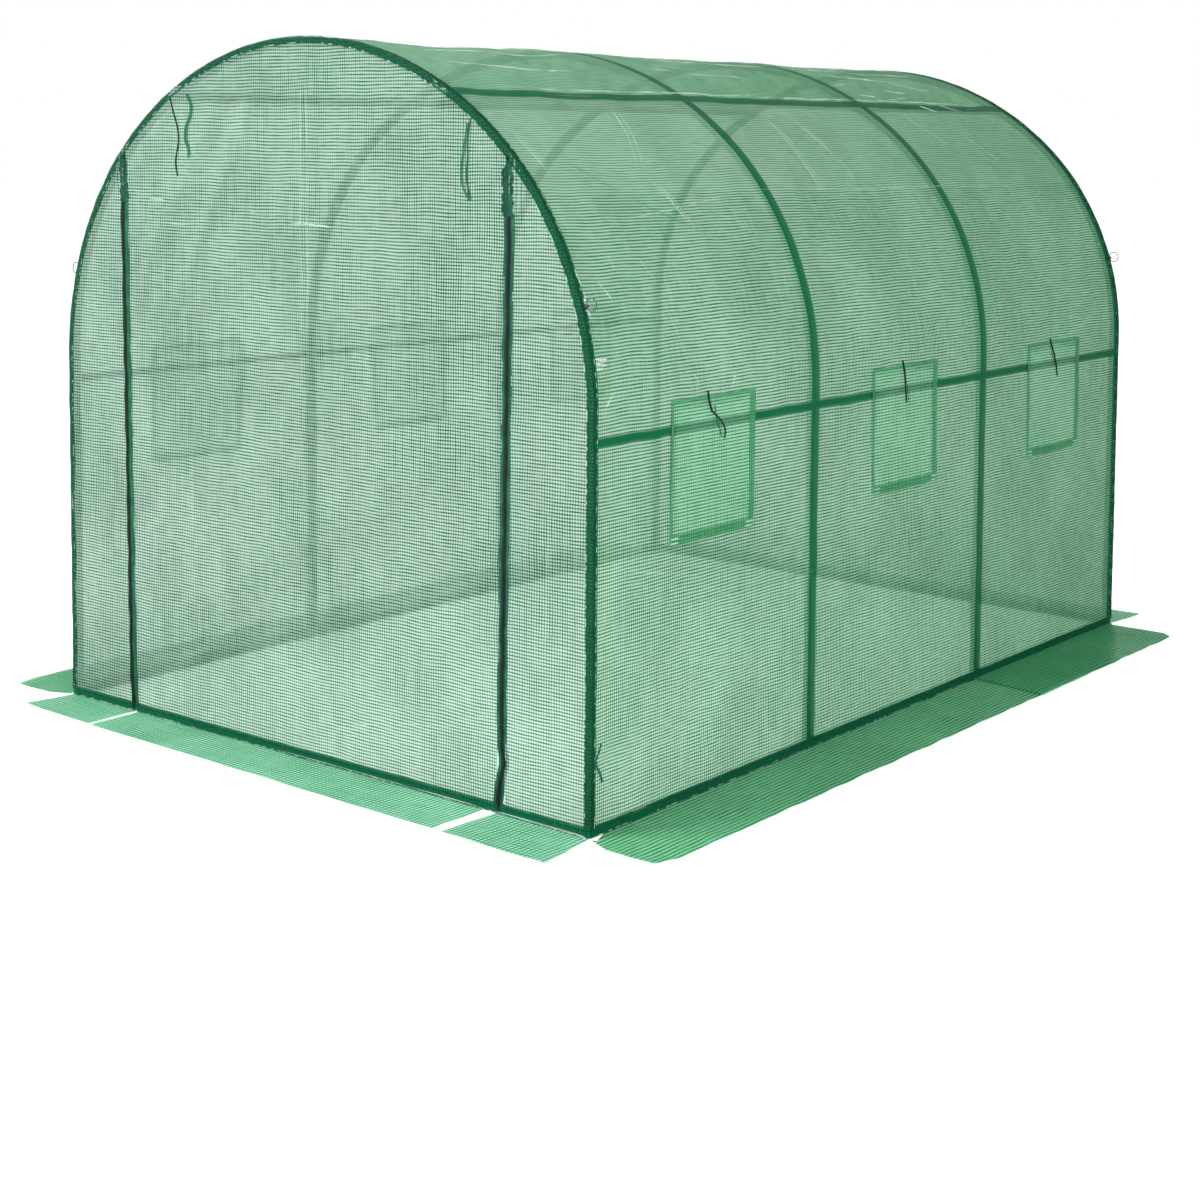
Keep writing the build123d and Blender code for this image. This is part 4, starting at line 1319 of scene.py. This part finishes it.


# Lines at the front hoop are rubbed and torn film; those on the roof over the middle and rear bays are
# painted highlights.
torn_edges_and_glints = [
    ((crown - 0.34, -1.4440), (crown + 0.05, -1.4450), 0.0022, 0.001),
    ((crown - 0.30, -1.4340), (crown - 0.05, -1.4340), 0.0016, 0.002),
    ((1.306, -1.4300), (1.262, -1.4260), 0.0080, 0.002), ((1.378, -1.4340), (1.335, -1.4310), 0.0022, 0.001),
    ((1.330, -1.4250), (1.252, -1.4230), 0.0016, 0.002), ((1.160, -1.4330), (1.156, -1.3850), 0.0040, 0.002),
    ((1.148, -1.4330), (1.140, -1.3900), 0.0042, -0.002), ((1.136, -1.4330), (1.137, -1.4050), 0.0036, 0.001),
    ((1.044, -1.4050), (1.072, -1.3750), 0.0034, 0.001), ((1.092, -1.0400), (1.068, -1.0200), 0.0030, 0.001),
    ((1.408, -1.2900), (1.372, -1.2750), 0.0026, 0.001), ((1.344, -1.3600), (1.296, -1.3250), 0.0020, 0.002),
    ((1.400, -1.1700), (1.336, -1.1300), 0.0012, 0.002), ((1.045, -0.8800), (1.080, -0.8600), 0.0022, 0.001),
    ((2.160, 0.960), (2.128, 1.005), 0.0085, 0.004), ((1.966, 0.870), (1.934, 0.950), 0.0080, 0.004),
    ((2.226, 0.760), (2.190, 0.900), 0.0050, 0.012), ((1.985, 1.010), (1.940, 1.120), 0.0040, 0.004),
    ((2.030, 0.58), (2.018, 0.66), 0.0055, 0.003), ((2.075, 0.80), (2.045, 0.90), 0.0050, 0.004),
    ((2.000, 0.92), (1.985, 1.02), 0.0040, 0.003), ((2.150, 0.98), (2.080, 1.12), 0.0045, 0.006),
    ((2.100, 0.52), (2.110, 0.60), 0.0035, 0.002), ((2.240, -0.30), (2.215, -0.10), 0.0025, 0.003),
    ((2.300, 0.10), (2.260, 0.42), 0.0022, 0.006), ((2.280, -0.95), (2.290, -0.62), 0.0020, 0.004),
]
fold_lines("torn_film_and_glints", over_cover, torn_edges_and_glints, white_mark)
fold_lines("sheen_streaks", over_cover, [
    ((2.415, -1.30), (2.405, -0.62), 0.020, 0.006), ((2.385, -0.36), (2.410, 0.30), 0.024, 0.008),
    ((2.400, 0.36), (2.395, 1.20), 0.026, -0.006), ((2.340, -0.20), (2.300, 0.40), 0.016, 0.020),
    ((2.330, 0.55), (2.280, 1.30), 0.020, 0.016), ((2.300, -1.25), (2.280, -0.70), 0.014, 0.012),
    ((2.240, 0.50), (2.170, 1.15), 0.012, 0.020), ((2.200, -0.42), (2.130, 0.10), 0.009, 0.014),
    ((2.150, -1.30), (2.110, -0.80), 0.008, 0.010), ((1.992, -1.30), (1.990, 1.38), 0.006, 0.003),
], sheen_mark)
frayed_foot = [
    ((0.70, -1.4600), (0.85, -1.4610), 0.0045, 0.001), ((0.80, -1.4610), (0.995, -1.4625), 0.0065, 0.001),
    ((0.40, -1.4590), (0.655, -1.4605), 0.0040, 0.001), ((-0.10, -1.4580), (0.45, -1.4590), 0.0026, 0.001),
    ((0.96, -1.462), (1.01, -1.475), 0.0035, 0.002),
]
fold_lines("frayed_foot", lambda x, y: np.stack([x, y, 0.0075 + 0 * x], -1), frayed_foot, white_mark)

# %% [markdown]
# The cover's own folds come in pairs, where a pleat was pressed flat, and run slanting from
# hoop to hoop. Some broad dark lines are painted shade along soft creases.

# %% Folds on the cover
cover_folds = [
    ((1.578, -0.62), (1.572, 1.41), 0.0014, 0.001), ((1.50, -1.20), (1.575, -0.60), 0.0012, 0.004),
    ((1.900, -0.880), (1.660, -0.985), 0.0030, -0.008), ((1.660, -0.985), (1.440, -0.890), 0.0030, -0.006),
    ((1.890, -0.862), (1.650, -0.968), 0.0024, -0.008), ((1.650, -0.968), (1.430, -0.873), 0.0024, -0.006),
    ((1.910, -0.168), (1.580, -0.187), 0.0030, 0.006), ((1.902, -0.150), (1.590, -0.170), 0.0022, 0.006),
    ((1.940, -0.050), (1.590, 0.032), 0.0030, 0.006), ((1.930, -0.032), (1.600, 0.046), 0.0022, 0.006),
    ((1.930, 0.655), (1.740, 0.765), 0.0026, 0.006), ((1.840, 0.900), (1.660, 1.035), 0.0030, 0.010),
    ((1.800, -1.386), (1.630, -1.355), 0.0030, 0.003), ((1.790, -1.370), (1.640, -1.340), 0.0022, 0.003),
    ((1.300, -1.120), (1.120, -1.060), 0.0012, 0.004), ((1.985, -0.35), (2.005, -0.02), 0.0030, 0.004),
    ((1.99, 0.62), (2.02, 0.86), 0.0035, 0.004), ((0.63, -1.30), (0.60, -1.12), 0.0016, 0.003),
    ((1.30, 0.52), (1.55, 0.60), 0.0014, 0.004),
]
fold_lines("folds_cover", over_cover, cover_folds, fold_mark)
# Painted shade along soft creases, as broad dark lines.
fold_lines("soft_crease_shade", over_cover, [
    ((1.680, -1.260), (1.585, -1.125), 0.0070, 0.002), ((1.590, -1.133), (1.455, -0.850), 0.0080, 0.006),
    ((1.956, -1.075), (1.870, -1.010), 0.0060, 0.004), ((1.900, 0.370), (1.790, 0.410), 0.0050, 0.003),
    ((0.520, -1.380), (0.500, 0.500), 0.0050, 0.010), ((1.800, 0.940), (1.680, 0.985), 0.0050, -0.020),
], crease_shade_mark)

# %% [markdown]
# A cord that hangs behind the film and touches it shows through darkly, because the film is
# clearer where it is pressed. A narrow dark ribbon over the film stands for that contact.
# Both inner door ties are seen so, and so is a second strand beside each window's tie. A
# short black ribbon covers the upper part of each window's tie, where it is knotted.

# %% Cords seen through the film


def strand_shade(name, colour):
    """A dark strand with soft edges, a little weaker where a thread of the film crosses it."""
    m = new_material(name)
    uv = put(m, "SeparateXYZ", {0: put(m, "UVMap", uv_map="cloth").outputs[0]})
    soft = spread(m, maths(m, "ABSOLUTE", uv.outputs[1]), 0.45, 1.0, 1.0, 0.0)
    crossed = maths(m, "MULTIPLY", thread(m, uv.outputs[0], row_pitch, 0.004, 0.001), 0.25)
    share = maths(m, "MULTIPLY", soft, maths(m, "SUBTRACT", 1.0, crossed))
    links = {"Base Color": colour, "Roughness": 0.8, "Specular IOR Level": 0.2}
    dark = put(m, "BsdfPrincipled", links).outputs[0]
    clear = put(m, "BsdfTransparent").outputs[0]
    return finish_with(m, put(m, "MixShader", {0: share, 1: clear, 2: dark}).outputs[0])


green_shade = strand_shade("strand_shade", (0.003, 0.10, 0.05, 1))
black_shade = strand_shade("black_shade", (0.002, 0.012, 0.008, 1))


def smooth_line(corners, step=0.006):
    """A smooth line through given corners: each coordinate is a cubic of the length."""
    corners = np.asarray(corners, float)
    length = lengths_along(corners)
    at = stops([0.0, length[-1]], step)
    slope = np.gradient(corners, length, axis=0)
    i = np.clip(np.searchsorted(length, at, side="right") - 1, 0, len(length) - 2)
    size = (length[i + 1] - length[i])[:, None]
    t = (at - length[i])[:, None] / size
    return (
        corners[i] * (1 + 2 * t) * (1 - t) ** 2 + size * slope[i] * t * (1 - t) ** 2
        + corners[i + 1] * t**2 * (3 - 2 * t) + size * slope[i + 1] * t**2 * (t - 1)
    )


def shade_ribbon(name, corners, half_width, outward, material=green_shade):
    """A ribbon along a smooth line, facing outward and touching what it lies on."""
    line = smooth_line(corners)
    ahead = np.gradient(line, axis=0)
    sideways = np.cross(ahead, outward)
    sideways /= np.linalg.norm(sideways, axis=1, keepdims=True)
    outward = np.broadcast_to(outward, line.shape)
    return band(name, line, sideways, outward, half_width, material, 91, 0.0, 0.0006)


for name, half_width in (("left_inner", 0.0085), ("right_inner", 0.0035)):
    route = door_ties[name][-1]
    corners = [(x / 1000, -end_y - 0.0028, z / 1000) for x, z in route]
    shade_ribbon("shade_" + name, corners, half_width, (0.0, -1.0, 0.0))
for i, (_, route) in enumerate(window_ties):
    for label, sign in (("right", 1), ("left", -1)):
        corners = [(sign * (window_tie_x + 0.0016), y / 1000, z / 1000) for y, z in route[:3]]
        outward = (float(sign), 0.0, 0.0)
        shade_ribbon(f"knot_window_{label}_{i + 1}", corners, 0.0048, outward, black_shade)
second_strands = [
    [(-0.962, 1.010), (-0.957, 0.985), (-0.949, 0.962), (-0.938, 0.945), (-0.931, 0.925)],
    [(-0.010, 1.000), (0.004, 0.975), (0.011, 0.950), (0.016, 0.928)],
    [(0.935, 1.000), (0.955, 0.975), (0.972, 0.948), (0.985, 0.915)],
]
for i, route in enumerate(second_strands):
    for label, sign in (("right", 1), ("left", -1)):
        corners = [(sign * (flap_x + 0.0022), y, z) for y, z in route]
        shade_ribbon(f"shade_window_{label}_{i + 1}", corners, 0.0028, (float(sign), 0.0, 0.0))

# %% [markdown]
# At shoulder height on both ends, a black button and a small steel ring hold the cover to the
# hoop, for a guy line. The button is a turned piece: a profile swept round the direction in
# which it stands out. The ring is a thin tube bent into a circle through the button's tip.

# %% Corner buttons and rings
ring_height = 1.280
ring_radius, ring_wire = 0.016, 0.003
ring_out = 0.0375  # of the ring's centre from the hoop's centre line
lean = math.asin((ring_height - straight) / haunch_radius)
ring_seat = straight + haunch_radius * lean
black_plastic = coated("black_plastic", (0.004, 0.006, 0.005, 1), (0.02, 0.025, 0.022, 1), 0.45)
ring_steel = new_material("ring_steel")
dull = noise(ring_steel, put(ring_steel, "TexCoord").outputs["Object"], 300.0, 4.0)
finish_with(ring_steel, put(ring_steel, "BsdfPrincipled", {
    "Base Color": blend(ring_steel, dull, (0.06, 0.07, 0.065, 1), (0.17, 0.18, 0.175, 1)),
    "Metallic": 1.0, "Roughness": spread(ring_steel, dull, 0.3, 0.7, 0.28, 0.5),
}).outputs[0])
button_reach = np.array([0.0148, 0.0156, 0.0168, 0.0225, 0.0250, 0.0268, 0.0275])[:, None]
button_radius = np.array([0.0066, 0.0072, 0.0072, 0.0050, 0.0050, 0.0042, 0.0015])
round_ring = np.linspace(0, 2 * np.pi, 41)[:, None]
buttons, loops = [], []
for y in (hoop_y[0], hoop_y[-1]):
    for sign in (1, -1):
        start = on_hoop(ring_seat, y, 0.0) * [sign, 1, 1]
        way = arch_frame(np.array([ring_seat]))[0] * [sign, 1, 1]
        buttons.append((start + button_reach * way, button_radius))
        circle = np.cos(round_ring) * way + np.sin(round_ring) * np.cross(way, ahead_y)
        loops.append((start + ring_out * way + ring_radius * circle, ring_wire / 2))
tubes("turned_buttons", buttons, black_plastic, ["corner_buttons"], 20)
tubes("wire_rings", loops, ring_steel, ["corner_rings"], 10)

# %% [markdown]
# Near the foot of the front right post, a thin cord is knotted round it. One end stands up
# and a flat tail hangs down. It is short trim, so it is two small tubes and a ribbon.

# %% Foot tie
foot_x = half_span + cloth_height + 0.0016
knot_turn = np.linspace(0, 4 * np.pi, 60)[:, None]
knot = np.array([foot_x + 0.0022, -1.440, 0.185]) + 0.0034 * np.hstack(
    [0.5 * np.cos(knot_turn * 1.5), np.cos(knot_turn), np.sin(knot_turn) + 0.3 * np.sin(knot_turn / 2)]
)
upper_end = smooth_line([
    (foot_x + 0.002, -1.440, 0.185), (foot_x + 0.003, -1.428, 0.205), (foot_x + 0.002, -1.416, 0.228),
])
tubes("foot_tie", [(knot, 0.0022), (upper_end, 0.0018)], green_cord, sides=8)
shade_ribbon("foot_tie_tail", [
    (foot_x + 0.001, -1.440, 0.184), (foot_x + 0.001, -1.428, 0.168), (foot_x + 0.001, -1.418, 0.152),
    (foot_x + 0.001, -1.410, 0.132),
], 0.0060, (1.0, 0.0, 0.0))

# %% [markdown]
# Every film, net, flap, skirt, band and tape is cloth that was cut flat, so each is printed
# with the size it was cut to and how it is held. A row of three flaps or nets is given as
# one strip, as long as the three.

# %% Sheets
haunch_width, roof_width, arch_length = roof_rail - straight, 2 * (crown - roof_rail), 2 * crown
cover_length = 2.907


def declare(name, width, length, held):
    """Prints that a piece is a sheet, with its size and how it is held."""
    print(name, "is a sheet of", round(width, 3), "by", round(length, 3), "m,", held)


declare("film_roof", roof_width, cover_length, "stretched")
declare("film_door", 1.44, 1.50, "hung")
declare("film_door_arch", 1.51, 0.45, "stretched")
declare("film_rear", 2.007, 1.947, "stretched")
for side in ("right", "left"):
    wall = "film_side_" + side
    declare(wall, 1.018, cover_length, "stretched")
    declare("film_haunch_" + side, haunch_width, cover_length, "stretched")
    declare("film_strip_" + side, 0.275, 1.62, "stretched")
    declare("zip_tape_" + side, 0.033, 1.49, "hung")
    declare("gather_" + side, 0.036, 0.13, "gathered")
    declare("flaps_" + side, 1.11, 0.366, "hung")
    declare("nets_" + side, 1.032, 0.342, "stretched")
    declare("ground_skirt_" + side, 0.246, 2.95, "laid")
    declare("skirt_lap_" + side, 0.252, 1.01, "laid")
    declare("hem_" + side, 0.027, 2.90, "stretched")
declare("ground_skirt_door", 0.191, 1.36, "laid")
declare("ground_skirt_door_right", 0.198, 0.34, "laid")
declare("ground_skirt_door_left", 0.172, 0.32, "laid")
declare("ground_skirt_rear", 0.197, 2.06, "laid")
for end in ("door", "rear"):
    declare(f"seam_{end}_face", 0.018, arch_length, "stretched")
    declare(f"seam_{end}_edge", 0.018, arch_length, "stretched")
    declare("hem_" + end, 0.022, 2 * half_span, "stretched")

# %% [markdown]
# The picture has a plain white ground and soft light from the front left above. The film
# glows where light passes through it. A white world seen only by the camera makes the
# background, and a dimmer one lights the tunnel all round. A broad lamp gives the door end
# its lighter tone, and a smaller one does the same for the front of the right side. A pale
# floor catches the soft shadow at the tunnel's foot.

# %% Light
world = bpy.data.worlds.new("white_ground")
bpy.context.scene.world = world
world.use_nodes = True
world.node_tree.nodes.clear()


def world_node(kind, **inputs):
    """Adds a node to the world, with its input values."""
    node = world.node_tree.nodes.new("ShaderNode" + kind)
    for key, value in inputs.items():
        node.inputs[key].default_value = value
    return node


ambient = 0.72
seen, dim = world_node("Background", Strength=1.0), world_node("Background", Strength=ambient)
seen.inputs["Color"].default_value = dim.inputs["Color"].default_value = (1, 1, 1, 1)
path, mix = world_node("LightPath"), world_node("MixShader")
wire = world.node_tree.links.new
wire(path.outputs["Is Camera Ray"], mix.inputs[0])
wire(dim.outputs[0], mix.inputs[1])
wire(seen.outputs[0], mix.inputs[2])
wire(mix.outputs[0], world_node("OutputWorld").inputs["Surface"])


def lamp(name, place, target, size, power):
    """A square area lamp at place that shines towards target. A lamp shines down its own -Z."""
    light = bpy.data.lights.new(name, "AREA")
    light.shape, light.size, light.size_y, light.energy = "RECTANGLE", size, size, power
    piece = bpy.data.objects.new(name, light)
    bpy.context.scene.collection.objects.link(piece)
    backward = np.asarray(place, float) - np.asarray(target, float)
    backward /= np.linalg.norm(backward)
    right = np.cross(up_z, backward)
    right /= np.linalg.norm(right)
    stand = np.eye(4)
    stand[:3] = np.stack([right, np.cross(backward, right), backward, place], -1)
    piece.matrix_world = Matrix(stand.tolist())
    return piece


lamps = [
    lamp("front_lamp", (-3.5, -8.0, 5.5), (0.0, -1.0, 0.8), 4.0, 800.0),
    lamp("side_lamp", (4.4, -4.0, 2.8), (0.9, -1.0, 0.9), 1.6, 165.0),
]
print("lamps:", [(piece.name, piece.data.energy) for piece in lamps])

# %% [markdown]
# The ground of the picture is pure white, yet the tunnel's shadow on it is seen. A floor of
# plain white paint would come out grey under these lamps, and a brighter one would light the
# tunnel too much. So the floor is brighter for the camera than for the tunnel.

# %% Floor
floor_seen = 1.85  # how bright the camera sees the floor


def floor_material():
    """White ground. The camera sees it brighter than the tunnel does, so that it stays white to
    the horizon while its shadows remain and its light on the tunnel is no more than real."""
    m = new_material("white_floor")
    grain = noise(m, put(m, "TexCoord").outputs["Object"], 60.0, 3.0)
    tone = blend(m, grain, (0.90, 0.90, 0.90, 1), (0.93, 0.93, 0.93, 1))
    plain = put(m, "BsdfDiffuse", {"Color": tone}).outputs[0]
    seen = put(m, "BsdfDiffuse", {"Color": (floor_seen, floor_seen, floor_seen, 1)}).outputs[0]
    by_camera = put(m, "LightPath").outputs["Is Camera Ray"]
    return finish_with(m, put(m, "MixShader", {0: by_camera, 1: plain, 2: seen}).outputs[0])


floor_half, floor_drop = 60.0, 0.0006
floor_corners = np.array([[-1, -1, 0], [1, -1, 0], [-1, 1, 0], [1, 1, 0]]) * floor_half - [0, 0, floor_drop]
floor_mesh = bpy.data.meshes.new("floor")
floor_mesh.from_pydata(floor_corners.tolist(), [], [(0, 1, 3, 2)])
floor_mesh.materials.append(floor_material())
floor = bpy.data.objects.new("floor", floor_mesh)
bpy.context.scene.collection.objects.link(floor)
print("floor", 2 * floor_half, "m square")
